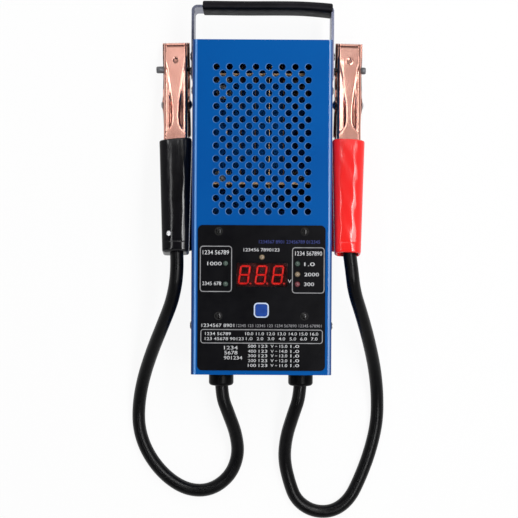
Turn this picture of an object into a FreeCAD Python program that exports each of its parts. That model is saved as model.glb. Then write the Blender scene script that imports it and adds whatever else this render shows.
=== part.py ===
import FreeCAD, Part
import math
import os

os.makedirs("parts", exist_ok=True)

# Battery load tester lying on its back. Origin at the middle of the case's back face,
# +Z out of the front panel, +Y towards the carrying handle, millimetres.

# Case of two bent sheets
CASE_WIDTH = 105.0
CASE_LENGTH = 250.0
CASE_DEPTH = 70.0
SHEET = 1.0
SHEET_BEND = 3.0
SHEET_SLIP = 0.2
END_INSET = 0.5
EAR_LENGTH = 18.0
EAR_TOP_GAP = 8.0
EAR_SHEET = 1.2

# Vent holes over the load, in staggered rows
VENT_DIAMETER = 4.8
VENT_PITCH = 9.8
VENT_COLUMNS = 8
VENT_ROWS = 23
VENT_TOP_GAP = 20.4

# Label panel and what shows through it
LABEL_WIDTH = 95.2
LABEL_LENGTH = 108.3
LABEL_CORNER = 3.7
LABEL_THICKNESS = 0.5
LABEL_EDGE_GAP = 3.25
DISPLAY_X = 0.3
DISPLAY_RISE = 17.2
WINDOW_WIDTH = 44.0
WINDOW_LENGTH = 19.4
WINDOW_CORNER = 1.5
DIGIT_PITCH = 12.5
DIGIT_HEIGHT = 14.2
DIGIT_WIDTH = 8.0
DIGIT_BAR = 1.25
DIGIT_BAR_GAP = 0.16
DIGIT_SLANT = 8.0
DIGIT_COUNT = 3
MODULE_WIDTH = 38.0
MODULE_LENGTH = 17.6
MODULE_DROP = 0.4
BAR_RISE = 0.2
LED_DIAMETER = 4.2
LED_FLANGE = 5.6
LED_FLANGE_HEIGHT = 1.0
LED_RISE = 0.8
LED_DOME = 1.38
LED_SIDE_X = 26.8
LED_TOP_X = 0.3
LED_TOP_RISE = 30.4
LED_HIGH_RISE = 25.6
LED_MIDDLE_RISE = 17.7
LED_LOW_RISE = 10.3
TRIM_GAP = 0.1
MODULE_GAP = 0.3

# Push button and its switch
BUTTON_SIZE = 9.0
BUTTON_CORNER = 2.0
BUTTON_FALL = 9.1
BUTTON_RISE = 1.4
BUTTON_EDGE = 0.56
BUTTON_FLANGE = 1.5
BUTTON_FLANGE_HEIGHT = 2.6
BUTTON_GAP = 0.35
BUTTON_TRAVEL = 0.8
SWITCH_SIZE = 12.0
SWITCH_HEIGHT = 4.0
PLUNGER_DIAMETER = 3.5

# Circuit board behind the panel
BOARD_WIDTH = 76.0
BOARD_LENGTH = 76.0
BOARD_THICKNESS = 1.6
BOARD_RISE = 17.6
SPACER_LENGTH = 8.0
SPACER_DIAMETER = 6.0
PANEL_SCREW_SPAN_X = 64.0
PANEL_SCREW_SPAN_Y = 63.0
PANEL_SCREW_RISE = 18.0
PANEL_SCREW = 3.0
PANEL_SCREW_LENGTH = 15.0
PANEL_HEAD = 6.2
PANEL_HEAD_HEIGHT = 1.9
PANEL_NUT_FLATS = 5.5
PANEL_NUT_HEIGHT = 2.4
SCREW_CLEARANCE = 0.1
CHIP_WIDTH = 18.0
CHIP_LENGTH = 8.0
CHIP_HEIGHT = 2.4
CHIP_X = -14.0
CHIP_RISE = 10.0
CONNECTOR_WIDTH = 14.0
CONNECTOR_LENGTH = 6.0
CONNECTOR_HEIGHT = 8.0
CONNECTOR_X = -16.0
CONNECTOR_FALL = 20.0
CAPACITOR_DIAMETER = 8.0
CAPACITOR_HEIGHT = 11.0
CAPACITOR_X = -2.0
CAPACITOR_FALL = 8.0

# Screws along the sides of the case
SIDE_SCREW = 3.5
SIDE_SCREW_LENGTH = 6.0
SIDE_HEAD = 6.8
SIDE_HEAD_HEIGHT = 1.6
SIDE_SCREW_INSET = 36.0
SIDE_SCREW_Z = 54.0

# Carrying handle: a bent steel strap in a rubber grip
STRAP_THICKNESS = 2.0
STRAP_WIDTH = 24.0
STRAP_BEND = 4.5
STRAP_RISE = 30.5
STRAP_LAP = 26.0
STRAP_Z = 35.0
HANDLE_SCREW = 4.0
HANDLE_SCREW_LENGTH = 7.5
HANDLE_HEAD = 7.0
HANDLE_HEAD_HEIGHT = 1.6
HANDLE_SCREW_GAP = 12.0
HANDLE_SCREW_EDGE = 7.0
HANDLE_NUT_FLATS = 7.0
HANDLE_NUT_HEIGHT = 3.0
GRIP_HEIGHT = 7.9
GRIP_LIFT = 0.9
GRIP_DEPTH = 28.0
GRIP_CORNER = 3.6
GRIP_START_X = -46.0
GRIP_BEND_X = 34.0
GRIP_END_X = 53.5
GRIP_DROOP = 1.9
GRIP_FLARE = 0.6
GRIP_FIT = 0.1

# Load: a zigzag resistance ribbon threaded through two mica boards
RIBBON_RUNS = 8
LUG_WALL_GAP = 1.7
RIBBON_THICKNESS = 0.6
RIBBON_WIDTH = 10.0
RIBBON_Z = 33.0
RIBBON_OVERRUN = 4.0
RIBBON_TAIL = 14.0
RIBBON_SLOT_GAP = 0.2
MICA_THICKNESS = 1.5
MICA_SIDE_GAP = 6.3
MICA_BOTTOM_Z = 8.0
MICA_TOP_Z = 50.0
MICA_END_GAP = 21.5
MICA_SPAN = 83.0
BRACKET_X = 31.0
BRACKET_WIDTH = 12.0
BRACKET_FOOT = 12.0
BRACKET_HEIGHT = 22.0
BRACKET_SHEET = 1.2
MICA_SCREW = 3.0
MICA_SCREW_Z = 16.0

# Relay that switches the load, its bars and lugs
RELAY_SIDE_GAP = 16.5
RELAY_END_GAP = 64.5
RELAY_WIDTH = 30.0
RELAY_LENGTH = 46.0
RELAY_HEIGHT = 27.0
RELAY_STUD = 6.0
RELAY_STUD_LENGTH = 12.0
RELAY_STUD_SPAN = 26.0
RELAY_NUT_FLATS = 10.0
RELAY_NUT_HEIGHT = 5.0
BAR_THICKNESS = 2.0
BAR_WIDTH = 14.0
TERMINAL_BOLT = 5.0
TERMINAL_BOLT_DROP = 13.0
TERMINAL_HEAD = 8.0
TERMINAL_HEAD_HEIGHT = 3.2
LUG_THICKNESS = 2.5
LUG_WIDTH = 13.0
LUG_TONGUE = 17.0
LUG_BARREL = 11.0
LUG_BARREL_LENGTH = 17.0
CONTROL_WIRE = 1.6
WIRE_SPACING = 4.0
WIRE_DROP = 14.0
WIRE_SWING_X = 4.0
WIRE_SWING_Y = 8.0
WIRE_SWING_Z = 24.0
COIL_RUN = 9.0
COIL_ROW = 16.0
COIL_Z = 12.0

# Cable glands in the bottom wall
CABLE_DIAMETER = 10.2
CORD_LEG_SHARE = 0.45
GLAND_INSET = 21.6
GLAND_Z = 28.0
GLAND_HEAD = 19.4
GLAND_HEAD_LENGTH = 12.5
GLAND_HEAD_ROUND = 2.2
GLAND_NECK = 15.6
GLAND_NECK_LENGTH = 11.0
GLAND_NUT_FLATS = 20.0
GLAND_NUT_HEIGHT = 5.0
GLAND_GAP = 0.1
CABLE_GAP = 0.1

# Spring clamps, each half a straight channel with its web outwards
CLAMP_CASE_GAP = 4.5
CLAMP_PIVOT_Y = 83.0
CLAMP_YAW = 1.33
CLAMP_SPREAD = 16.0
SHELL_WIDTH = 18.4
SHELL_SHEET = 1.2
SHELL_BEND = 2.0
SHELL_SIDE_GAP = 0.3
PIVOT_DEPTH = 13.5
PIVOT_BOSS = 6.5
JAW_LENGTH = 50.1
NOSE_RUN = 3.4
JAW_GAP = 0.2
MOUTH_FRONT = 38.0
MOUTH_BACK = 13.0
MOUTH_DEPTH = 3.6
TOOTH_COUNT = 5
TOOTH_DEPTH = 0.9
TOOTH_NOTCH = 3.6
HEEL_START = 16.0
HANDLE_DEPTH = 11.0
TAIL_LENGTH = 121.0
LOWER_TAIL_CUT = 9.0
JOGGLE_START = 24.0
RIVET = 6.0
RIVET_HEAD = 7.6
RIVET_HEAD_HEIGHT = 1.6
RIVET_GAP = 0.05
PIN = 3.4
PIN_HEAD = 5.4
PIN_HEAD_LENGTH = 5.0
PIN_TAIL = 3.4
PIN_ALONG = 25.6
PIN_DEPTH = 3.5
CONTACT_FRONT = 36.0
CONTACT_BACK = 16.0
CONTACT_HEIGHT = 4.8
CONTACT_SIDE_GAP = 0.1
SLEEVE_START = 33.8
SLEEVE_END = 125.0
SLEEVE_WALL = 1.4
SLEEVE_END_WALL = 3.0
SLEEVE_ROUND = 3.2
SLEEVE_FIT = 0.1
SLEEVE_TAPER = 1.2
SLEEVE_FLARE = 4.0
SLEEVE_MOUTH_GAP = 0.4
CRIMP_FRONT = 78.0
CRIMP_STEP = 94.0
CRIMP_BACK = 121.2
CRIMP_BARREL = 8.0
CABLE_LEAD_OUT = 12.0
CRIMP_TONGUE_WIDTH = 10.0
CRIMP_TONGUE_HEIGHT = 1.5
CRIMP_END_GAP = 0.3
SPRING_WIRE = 1.8
SPRING_RADIUS = 5.6
SPRING_PITCH = 2.6
SPRING_TURNS = 4
SPRING_LEG = 22.0

# Heights and places that several pieces share
COVER_INSIDE_Z = CASE_DEPTH - SHEET
LABEL_TOP_Z = CASE_DEPTH + LABEL_THICKNESS
BOARD_TOP_Z = COVER_INSIDE_Z - SPACER_LENGTH
BOARD_BOTTOM_Z = BOARD_TOP_Z - BOARD_THICKNESS
SIDE_X = CASE_WIDTH / 2
CHASSIS_SIDE_X = SIDE_X - SHEET - SHEET_SLIP
WALL_OUTSIDE_Y = CASE_LENGTH / 2 - END_INSET
WALL_INSIDE_Y = WALL_OUTSIDE_Y - SHEET
STRAP_TOP_Y = CASE_LENGTH / 2 + STRAP_RISE
STRAP_MIDDLE_Y = STRAP_TOP_Y - STRAP_THICKNESS / 2
RELAY_TOP_Z = SHEET + RELAY_HEIGHT
CABLE_AXIS_DEPTH = SHELL_SHEET + CRIMP_END_GAP + CRIMP_BARREL / 2
CLAMP_PIVOT_Z = SLEEVE_WALL + PIVOT_DEPTH
JAW_SLOPE = math.tan(math.radians(CLAMP_SPREAD / 2))
LOWER_WIDTH = SHELL_WIDTH + 2 * SHELL_SIDE_GAP + 2 * SHELL_SHEET
CLAMP_X = SIDE_X + CLAMP_CASE_GAP + LOWER_WIDTH / 2
GLAND_X = SIDE_X - GLAND_INSET
LABEL_CENTRE_Y = -CASE_LENGTH / 2 + LABEL_EDGE_GAP + LABEL_LENGTH / 2
DISPLAY_Y = LABEL_CENTRE_Y + DISPLAY_RISE
BUTTON_Y = LABEL_CENTRE_Y - BUTTON_FALL
BOARD_Y = LABEL_CENTRE_Y + BOARD_RISE
PANEL_SCREW_Y = LABEL_CENTRE_Y + PANEL_SCREW_RISE
SIDE_SCREW_Y = CASE_LENGTH / 2 - SIDE_SCREW_INSET
RIBBON_END_X = SIDE_X - SHEET - LUG_WALL_GAP - LUG_BARREL - RIBBON_THICKNESS / 2
RIBBON_PITCH = 2 * RIBBON_END_X / (RIBBON_RUNS - 1)
MICA_LENGTH = 2 * (CHASSIS_SIDE_X - MICA_SIDE_GAP)
MICA_UPPER_Y = WALL_INSIDE_Y - MICA_END_GAP
MICA_LOWER_Y = MICA_UPPER_Y - MICA_SPAN
TERMINAL_BOLT_Y = MICA_LOWER_Y - TERMINAL_BOLT_DROP
RELAY_X = SIDE_X - SHEET - RELAY_SIDE_GAP - RELAY_WIDTH / 2
RELAY_Y = -WALL_INSIDE_Y + RELAY_END_GAP + RELAY_LENGTH / 2

X_AXIS = FreeCAD.Vector(1, 0, 0)
Y_AXIS = FreeCAD.Vector(0, 1, 0)
Z_AXIS = FreeCAD.Vector(0, 0, 1)
ORIGIN = FreeCAD.Vector(0, 0, 0)


def at(x, y, z):
    return FreeCAD.Vector(x, y, z)


def block(x_limits, y_limits, z_limits):
    """Box between two limits along each axis."""
    sizes = [high - low for low, high in (x_limits, y_limits, z_limits)]
    return Part.makeBox(*sizes, at(x_limits[0], y_limits[0], z_limits[0]))


def rod(diameter, start, axis, length):
    return Part.makeCylinder(diameter / 2, length, start, axis)


def flat_face(start, *steps):
    """Closed flat face. A step is a line's end, or an arc's middle and end as a pair."""
    edges = []
    here = start
    for step in steps + (start,):
        if isinstance(step, tuple):
            edges.append(Part.Arc(here, *step).toShape())
            here = step[1]
        elif here.distanceToPoint(step) > 1e-6:
            edges.append(Part.LineSegment(here, step).toShape())
            here = step
    return Part.Face(Part.Wire(edges))


def rounded_face(width, height, corner):
    """Rounded rectangle about the origin in the XY plane."""
    a, b = width / 2, height / 2
    c, d = a - corner, b - corner
    k = corner * math.sqrt(0.5)
    return flat_face(
        at(-c, -b, 0),
        at(c, -b, 0),
        (at(c + k, -d - k, 0), at(a, -d, 0)),
        at(a, d, 0),
        (at(c + k, d + k, 0), at(c, b, 0)),
        at(-c, b, 0),
        (at(-c - k, d + k, 0), at(-a, d, 0)),
        at(-a, -d, 0),
        (at(-c - k, -d - k, 0), at(-c, -b, 0)),
    )


def rounded_plate(width, length, corner, centre, thickness):
    face = rounded_face(width, length, corner)
    face.translate(centre)
    return face.extrude(at(0, 0, thickness))


def channel(width, depth, sheet, bend, length):
    """Bent U sheet along +Y, its web's outside on the plane z = 0 and its legs downwards."""
    a, c = width / 2, width / 2 - bend
    inner = bend - sheet
    k, m = bend * math.sqrt(0.5), inner * math.sqrt(0.5)
    face = flat_face(
        at(-a, 0, -depth),
        at(-a, 0, -bend),
        (at(-c - k, 0, -bend + k), at(-c, 0, 0)),
        at(c, 0, 0),
        (at(c + k, 0, -bend + k), at(a, 0, -bend)),
        at(a, 0, -depth),
        at(a - sheet, 0, -depth),
        at(a - sheet, 0, -bend),
        (at(c + m, 0, -bend + m), at(c, 0, -sheet)),
        at(-c, 0, -sheet),
        (at(-c - m, 0, -bend + m), at(-a + sheet, 0, -bend)),
        at(-a + sheet, 0, -depth),
    )
    return face.extrude(at(0, length, 0))


def turned(points, base, axis):
    """Solid of revolution: points are (radius, height), a pair of them is an arc's middle and end."""
    steps = []
    for point in points:
        if isinstance(point[0], tuple):
            steps.append(tuple(at(r, 0, h) for r, h in point))
        else:
            steps.append(at(point[0], 0, point[1]))
    solid = flat_face(*steps).revolve(ORIGIN, Z_AXIS, 360)
    solid.Placement = FreeCAD.Placement(base, FreeCAD.Rotation(Z_AXIS, axis))
    return solid


def dome_points(radius, height, base):
    """Profile points of a domed head that stands on the given height."""
    sphere = (radius * radius + height * height) / (2 * height)
    half = math.asin(radius / sphere) / 2
    middle = (sphere * math.sin(half), base + height - sphere + sphere * math.cos(half))
    return [(radius, base), (middle, (0, base + height))]


def screw(diameter, length, head, head_height, seat, axis):
    """Domed screw or rivet end: its head stands on the seat, its shank runs against the axis."""
    points = [(0, -length), (diameter / 2, -length), (diameter / 2, 0)]
    return turned(points + dome_points(head / 2, head_height, 0), seat, axis)


def hex_nut(flats, height, bore, seat, axis):
    """Hexagon nut that stands on its seat along the axis."""
    corner = flats / math.sqrt(3)
    turns = [math.radians(60 * step) for step in range(6)]
    corners = [at(corner * math.cos(t), corner * math.sin(t), 0) for t in turns]
    nut = flat_face(*corners).extrude(at(0, 0, height))
    nut = nut.cut(rod(bore, ORIGIN, Z_AXIS, height))
    nut.Placement = FreeCAD.Placement(seat, FreeCAD.Rotation(Z_AXIS, axis))
    return nut


def bend_arc(start, corner, end):
    """Arc that leaves a corner's two equal legs at their tangents, and its radius."""
    chord = (start + end) * 0.5
    leg = start.distanceToPoint(corner)
    height = chord.distanceToPoint(corner)
    radius = leg * start.distanceToPoint(chord) / height
    middle = corner + (chord - corner) * ((math.hypot(radius, leg) - radius) / height)
    return Part.Arc(start, middle, end), radius


def tube(edges, diameter):
    """Round tube along a smooth chain of edges."""
    path = Part.Wire(edges)
    first = edges[0]
    start = first.valueAt(first.FirstParameter)
    axis = first.tangentAt(first.FirstParameter)
    ring = Part.Wire([Part.makeCircle(diameter / 2, start, axis)])
    return path.makePipeShell([ring], True, False), path.Length


def cord(name, points, diameter):
    """Cord along straight runs, with the largest tangent arc at each corner."""
    points = [at(*point) for point in points]
    edges = []
    radii = []
    here = points[0]
    for before, corner, after in zip(points, points[1:], points[2:]):
        back, ahead = before - corner, after - corner
        leg = CORD_LEG_SHARE * min(back.Length, ahead.Length)
        start = corner + back * (leg / back.Length)
        end = corner + ahead * (leg / ahead.Length)
        arc, radius = bend_arc(start, corner, end)
        edges.append(Part.LineSegment(here, start).toShape())
        edges.append(arc.toShape())
        radii.append(round(radius, 1))
        here = end
    edges.append(Part.LineSegment(here, points[-1]).toShape())
    solid, length = tube(edges, diameter)
    share = solid.Volume / (math.pi * diameter * diameter / 4 * length)
    print(name, "length", round(length, 1), "volume share", round(share, 4), "radii", radii)
    return solid


def save(name, *solids):
    """Write one node, a group where it has several solids."""
    shape = solids[0] if len(solids) == 1 else Part.makeCompound(list(solids))
    shape.exportStep("parts/" + name + ".step")


def both_sides(solids):
    """The solids and their mirror images across the case's middle plane."""
    return list(solids) + [solid.mirror(ORIGIN, X_AXIS) for solid in solids]


# Places of the fasteners and lamps on the panel
panel_screw_places = [
    (x * PANEL_SCREW_SPAN_X / 2, PANEL_SCREW_Y + y * PANEL_SCREW_SPAN_Y / 2)
    for x in (-1, 1)
    for y in (-1, 1)
]
led_high_y = LABEL_CENTRE_Y + LED_HIGH_RISE
led_low_y = LABEL_CENTRE_Y + LED_LOW_RISE
green_places = [(-LED_SIDE_X, led_high_y), (-LED_SIDE_X, led_low_y), (LED_SIDE_X, led_high_y)]
amber_places = [
    (LED_TOP_X, LABEL_CENTRE_Y + LED_TOP_RISE),
    (LED_SIDE_X, LABEL_CENTRE_Y + LED_MIDDLE_RISE),
]
red_places = [(LED_SIDE_X, led_low_y)]
led_places = green_places + amber_places + red_places
side_screw_rows = (-SIDE_SCREW_Y, SIDE_SCREW_Y)
strap_end_y = CASE_LENGTH / 2 - STRAP_LAP
handle_screw_rows = [strap_end_y + HANDLE_SCREW_EDGE + step * HANDLE_SCREW_GAP for step in (0, 1)]


def panel_holes(led_gap, screw_gap, button_gap, low, height):
    """Cutters for the lamps, panel screws and button, all through one sheet."""
    cutters = [rod(LED_DIAMETER + 2 * led_gap, at(x, y, low), Z_AXIS, height) for x, y in led_places]
    for x, y in panel_screw_places:
        cutters.append(rod(PANEL_SCREW + 2 * screw_gap, at(x, y, low), Z_AXIS, height))
    size = BUTTON_SIZE + 2 * button_gap
    corner = BUTTON_CORNER + button_gap
    cutters.append(rounded_plate(size, size, corner, at(0, BUTTON_Y, low), height))
    return cutters


# Front cover: perforated front and both sides, bent from one sheet
cover = channel(CASE_WIDTH, CASE_DEPTH, SHEET, SHEET_BEND, CASE_LENGTH)
cover.translate(at(0, -CASE_LENGTH / 2, CASE_DEPTH))
cutters = panel_holes(2 * TRIM_GAP, SCREW_CLEARANCE, BUTTON_GAP, COVER_INSIDE_Z, SHEET)
for row in range(VENT_ROWS):
    count = VENT_COLUMNS - row % 2
    y = CASE_LENGTH / 2 - VENT_TOP_GAP - row * VENT_PITCH / 2
    for column in range(count):
        x = (column - (count - 1) / 2) * VENT_PITCH
        cutters.append(rod(VENT_DIAMETER, at(x, y, COVER_INSIDE_Z), Z_AXIS, SHEET))
opening = (MODULE_WIDTH + 2 * MODULE_GAP, MODULE_LENGTH + 2 * MODULE_GAP, MODULE_GAP)
cutters.append(rounded_plate(*opening, at(DISPLAY_X, DISPLAY_Y, COVER_INSIDE_Z), SHEET))
for side in (-1, 1):
    outward = X_AXIS * side
    for y in side_screw_rows:
        start = at(side * (SIDE_X - SHEET), y, SIDE_SCREW_Z)
        cutters.append(rod(SIDE_SCREW + 2 * SCREW_CLEARANCE, start, outward, SHEET))
    for y in handle_screw_rows:
        start = at(side * (SIDE_X - SHEET), y, STRAP_Z)
        cutters.append(rod(HANDLE_SCREW + 2 * SCREW_CLEARANCE, start, outward, SHEET))
save("front_cover", cover.cut(cutters))

# Rear chassis: back and both end walls in one sheet, with four ears for the side screws
chassis = channel(
    2 * WALL_OUTSIDE_Y, COVER_INSIDE_Z - SHEET_SLIP, SHEET, SHEET_BEND, 2 * CHASSIS_SIDE_X
)
chassis.translate(at(0, -CHASSIS_SIDE_X, 0))
chassis.rotate(ORIGIN, Z_AXIS, 90)
chassis.rotate(ORIGIN, Y_AXIS, 180)
inside_z = COVER_INSIDE_Z - SHEET_SLIP
bend = SHEET_BEND - SHEET
shoulder_x = CHASSIS_SIDE_X - bend
k = bend * math.sqrt(0.5)
far_y = -CASE_LENGTH
inside_of_cover = flat_face(
    at(-CHASSIS_SIDE_X, far_y, 0),
    at(-CHASSIS_SIDE_X, far_y, inside_z - bend),
    (at(-shoulder_x - k, far_y, inside_z - bend + k), at(-shoulder_x, far_y, inside_z)),
    at(shoulder_x, far_y, inside_z),
    (at(shoulder_x + k, far_y, inside_z - bend + k), at(CHASSIS_SIDE_X, far_y, inside_z - bend)),
    at(CHASSIS_SIDE_X, far_y, 0),
).extrude(at(0, 2 * CASE_LENGTH, 0))
chassis = chassis.common(inside_of_cover)
ears = []
cutters = []
for side in (-1, 1):
    x_limits = sorted((side * CHASSIS_SIDE_X, side * (CHASSIS_SIDE_X - EAR_SHEET)))
    for y in side_screw_rows:
        y_limits = (y - EAR_LENGTH / 2, y + EAR_LENGTH / 2)
        ears.append(block(x_limits, y_limits, (0, SIDE_SCREW_Z + EAR_TOP_GAP)))
        start = at(x_limits[0], y, SIDE_SCREW_Z)
        cutters.append(rod(SIDE_SCREW + 2 * SCREW_CLEARANCE, start, X_AXIS, EAR_SHEET))
    start = at(side * GLAND_X, -WALL_OUTSIDE_Y, GLAND_Z)
    cutters.append(rod(GLAND_NECK + 2 * GLAND_GAP, start, Y_AXIS, SHEET))
save("rear_chassis", chassis.fuse(ears).cut(cutters))

# Screws that hold the cover to the ears
side_screws = [
    screw(SIDE_SCREW, SIDE_SCREW_LENGTH, SIDE_HEAD, SIDE_HEAD_HEIGHT, at(SIDE_X, y, SIDE_SCREW_Z), X_AXIS)
    for y in side_screw_rows
]
save("side_screws", *both_sides(side_screws))

# Label panel on the front, with the display window let into it
label_place = at(0, LABEL_CENTRE_Y, CASE_DEPTH)
label = rounded_plate(LABEL_WIDTH, LABEL_LENGTH, LABEL_CORNER, label_place, LABEL_THICKNESS)
cutters = panel_holes(TRIM_GAP, SCREW_CLEARANCE, BUTTON_GAP, CASE_DEPTH, LABEL_THICKNESS)
window_place = at(DISPLAY_X, DISPLAY_Y, CASE_DEPTH)
cutters.append(
    rounded_plate(
        WINDOW_WIDTH + 2 * TRIM_GAP,
        WINDOW_LENGTH + 2 * TRIM_GAP,
        WINDOW_CORNER + TRIM_GAP,
        window_place,
        LABEL_THICKNESS,
    )
)
save("front_label", label.cut(cutters))
window = (WINDOW_WIDTH, WINDOW_LENGTH, WINDOW_CORNER, window_place, LABEL_THICKNESS)
save("display_window", rounded_plate(*window))

# Display module and its lit bars
module_top_z = CASE_DEPTH - MODULE_DROP
module_x = (DISPLAY_X - MODULE_WIDTH / 2, DISPLAY_X + MODULE_WIDTH / 2)
module_y = (DISPLAY_Y - MODULE_LENGTH / 2, DISPLAY_Y + MODULE_LENGTH / 2)
save("display_module", block(module_x, module_y, (BOARD_TOP_Z, module_top_z)))


def digit_bar(centre_x, x0, y0, x1, y1):
    """One pointed bar of a digit between two joints, slanted with the digit."""
    half = DIGIT_BAR / 2
    along = at(x1 - x0, y1 - y0, 0).normalize()
    across = at(-along.y, along.x, 0)
    start = at(x0, y0, 0) + along * DIGIT_BAR_GAP
    end = at(x1, y1, 0) - along * DIGIT_BAR_GAP
    corners = [start]
    corners += [start + (along + across) * half, end + (across - along) * half, end]
    corners += [end - (along + across) * half, start + (along - across) * half]
    lean = math.tan(math.radians(DIGIT_SLANT))
    place = at(DISPLAY_X + centre_x, DISPLAY_Y, module_top_z)
    leaned = [place + at(p.x + p.y * lean, p.y, 0) for p in corners]
    return flat_face(*leaned).extrude(at(0, 0, BAR_RISE))


bars = []
for digit in range(DIGIT_COUNT):
    centre_x = (digit - (DIGIT_COUNT - 1) / 2) * DIGIT_PITCH - DIGIT_BAR / 2
    half_width = (DIGIT_WIDTH - DIGIT_BAR) / 2
    half_height = (DIGIT_HEIGHT - DIGIT_BAR) / 2
    for y in (-half_height, 0, half_height):
        bars.append(digit_bar(centre_x, -half_width, y, half_width, y))
    for x in (-half_width, half_width):
        bars.append(digit_bar(centre_x, x, -half_height, x, 0))
        bars.append(digit_bar(centre_x, x, 0, x, half_height))
    dot_x = DISPLAY_X + centre_x + DIGIT_WIDTH / 2 + DIGIT_BAR / 2
    dot = at(dot_x, DISPLAY_Y - half_height, module_top_z)
    bars.append(rod(DIGIT_BAR, dot, Z_AXIS, BAR_RISE))
save("display_segments", *bars)


def lamp(x, y):
    """Domed lamp that stands on the board and passes through the panel."""
    height = LABEL_TOP_Z + LED_RISE - BOARD_TOP_Z
    dome = LED_DIAMETER / 2
    points = [(0, 0), (LED_FLANGE / 2, 0), (LED_FLANGE / 2, LED_FLANGE_HEIGHT)]
    points += [(dome, LED_FLANGE_HEIGHT)]
    points += dome_points(dome, LED_DOME, height - LED_DOME)
    return turned(points, at(x, y, BOARD_TOP_Z), Z_AXIS)


save("green_leds", *[lamp(*place) for place in green_places])
save("amber_leds", *[lamp(*place) for place in amber_places])
save("red_led", *[lamp(*place) for place in red_places])

# Push button, the plunger under it and the switch on the board
flange_top_z = COVER_INSIDE_Z - TRIM_GAP
flange_low_z = flange_top_z - BUTTON_FLANGE_HEIGHT
flange_size = BUTTON_SIZE + 2 * BUTTON_FLANGE
button_height = LABEL_TOP_Z + BUTTON_RISE - flange_low_z
cap = rounded_plate(BUTTON_SIZE, BUTTON_SIZE, BUTTON_CORNER, at(0, BUTTON_Y, flange_low_z), button_height)
top_edges = [edge for edge in cap.Edges if edge.BoundBox.ZMin > LABEL_TOP_Z]
cap = cap.makeFillet(BUTTON_EDGE, top_edges)
flange_place = at(0, BUTTON_Y, flange_low_z)
flange = rounded_plate(flange_size, flange_size, BUTTON_CORNER, flange_place, BUTTON_FLANGE_HEIGHT)
save("test_button", cap.fuse(flange))
switch_top_z = BOARD_TOP_Z + SWITCH_HEIGHT
plunger_low_z = flange_low_z - 2 * (flange_low_z - switch_top_z)
plunger_place = at(0, BUTTON_Y, plunger_low_z)
save("switch_plunger", rod(PLUNGER_DIAMETER, plunger_place, Z_AXIS, flange_low_z - plunger_low_z))
switch_x = (-SWITCH_SIZE / 2, SWITCH_SIZE / 2)
switch_y = (BUTTON_Y - SWITCH_SIZE / 2, BUTTON_Y + SWITCH_SIZE / 2)
switch = block(switch_x, switch_y, (BOARD_TOP_Z, switch_top_z))
well_low_z = plunger_low_z - BUTTON_TRAVEL - TRIM_GAP
well = rod(
    PLUNGER_DIAMETER + 2 * BUTTON_GAP, at(0, BUTTON_Y, well_low_z), Z_AXIS, switch_top_z - well_low_z
)
save("test_switch", switch.cut(well))

# Circuit board, hung from the cover by screws, spacers and nuts
board = block(
    (-BOARD_WIDTH / 2, BOARD_WIDTH / 2),
    (BOARD_Y - BOARD_LENGTH / 2, BOARD_Y + BOARD_LENGTH / 2),
    (BOARD_BOTTOM_Z, BOARD_TOP_Z),
)
screw_hole = PANEL_SCREW + 2 * SCREW_CLEARANCE
holes = [rod(screw_hole, at(x, y, BOARD_BOTTOM_Z), Z_AXIS, BOARD_THICKNESS) for x, y in panel_screw_places]
save("circuit_board", board.cut(holes))
panel_screws = []
spacers = []
panel_nuts = []
for x, y in panel_screw_places:
    head_place = at(x, y, LABEL_TOP_Z)
    panel_screws.append(
        screw(PANEL_SCREW, PANEL_SCREW_LENGTH, PANEL_HEAD, PANEL_HEAD_HEIGHT, head_place, Z_AXIS)
    )
    spacer = rod(SPACER_DIAMETER, at(x, y, BOARD_TOP_Z), Z_AXIS, SPACER_LENGTH)
    spacers.append(spacer.cut(rod(screw_hole, at(x, y, BOARD_TOP_Z), Z_AXIS, SPACER_LENGTH)))
    nut_place = at(x, y, BOARD_BOTTOM_Z - PANEL_NUT_HEIGHT)
    panel_nuts.append(hex_nut(PANEL_NUT_FLATS, PANEL_NUT_HEIGHT, screw_hole, nut_place, Z_AXIS))
save("panel_screws", *panel_screws)
save("board_spacers", *spacers)
save("panel_nuts", *panel_nuts)


# Components on the back of the board: chip, connector and capacitor
def under_board(centre_x, centre_y, width, length, height):
    x_limits = (centre_x - width / 2, centre_x + width / 2)
    y_limits = (centre_y - length / 2, centre_y + length / 2)
    return block(x_limits, y_limits, (BOARD_BOTTOM_Z - height, BOARD_BOTTOM_Z))


connector_y = BOARD_Y - CONNECTOR_FALL
chip = under_board(CHIP_X, BOARD_Y + CHIP_RISE, CHIP_WIDTH, CHIP_LENGTH, CHIP_HEIGHT)
connector = under_board(CONNECTOR_X, connector_y, CONNECTOR_WIDTH, CONNECTOR_LENGTH, CONNECTOR_HEIGHT)
capacitor_place = at(CAPACITOR_X, BOARD_Y - CAPACITOR_FALL, BOARD_BOTTOM_Z)
capacitor = rod(CAPACITOR_DIAMETER, capacitor_place, -Z_AXIS, CAPACITOR_HEIGHT)
save("board_components", chip, connector, capacitor)

# Carrying handle: strap outside the case sides, screwed through the cover
def strap_form(extra):
    """The strap, swollen by an extra thickness all round."""
    form = channel(
        CASE_WIDTH + 2 * STRAP_THICKNESS + 2 * extra,
        STRAP_RISE + STRAP_LAP + extra,
        STRAP_THICKNESS + 2 * extra,
        STRAP_BEND + extra,
        STRAP_WIDTH + 2 * extra,
    )
    form.rotate(ORIGIN, X_AXIS, -90)
    form.translate(at(0, STRAP_TOP_Y + extra, STRAP_Z + STRAP_WIDTH / 2 + extra))
    return form


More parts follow.
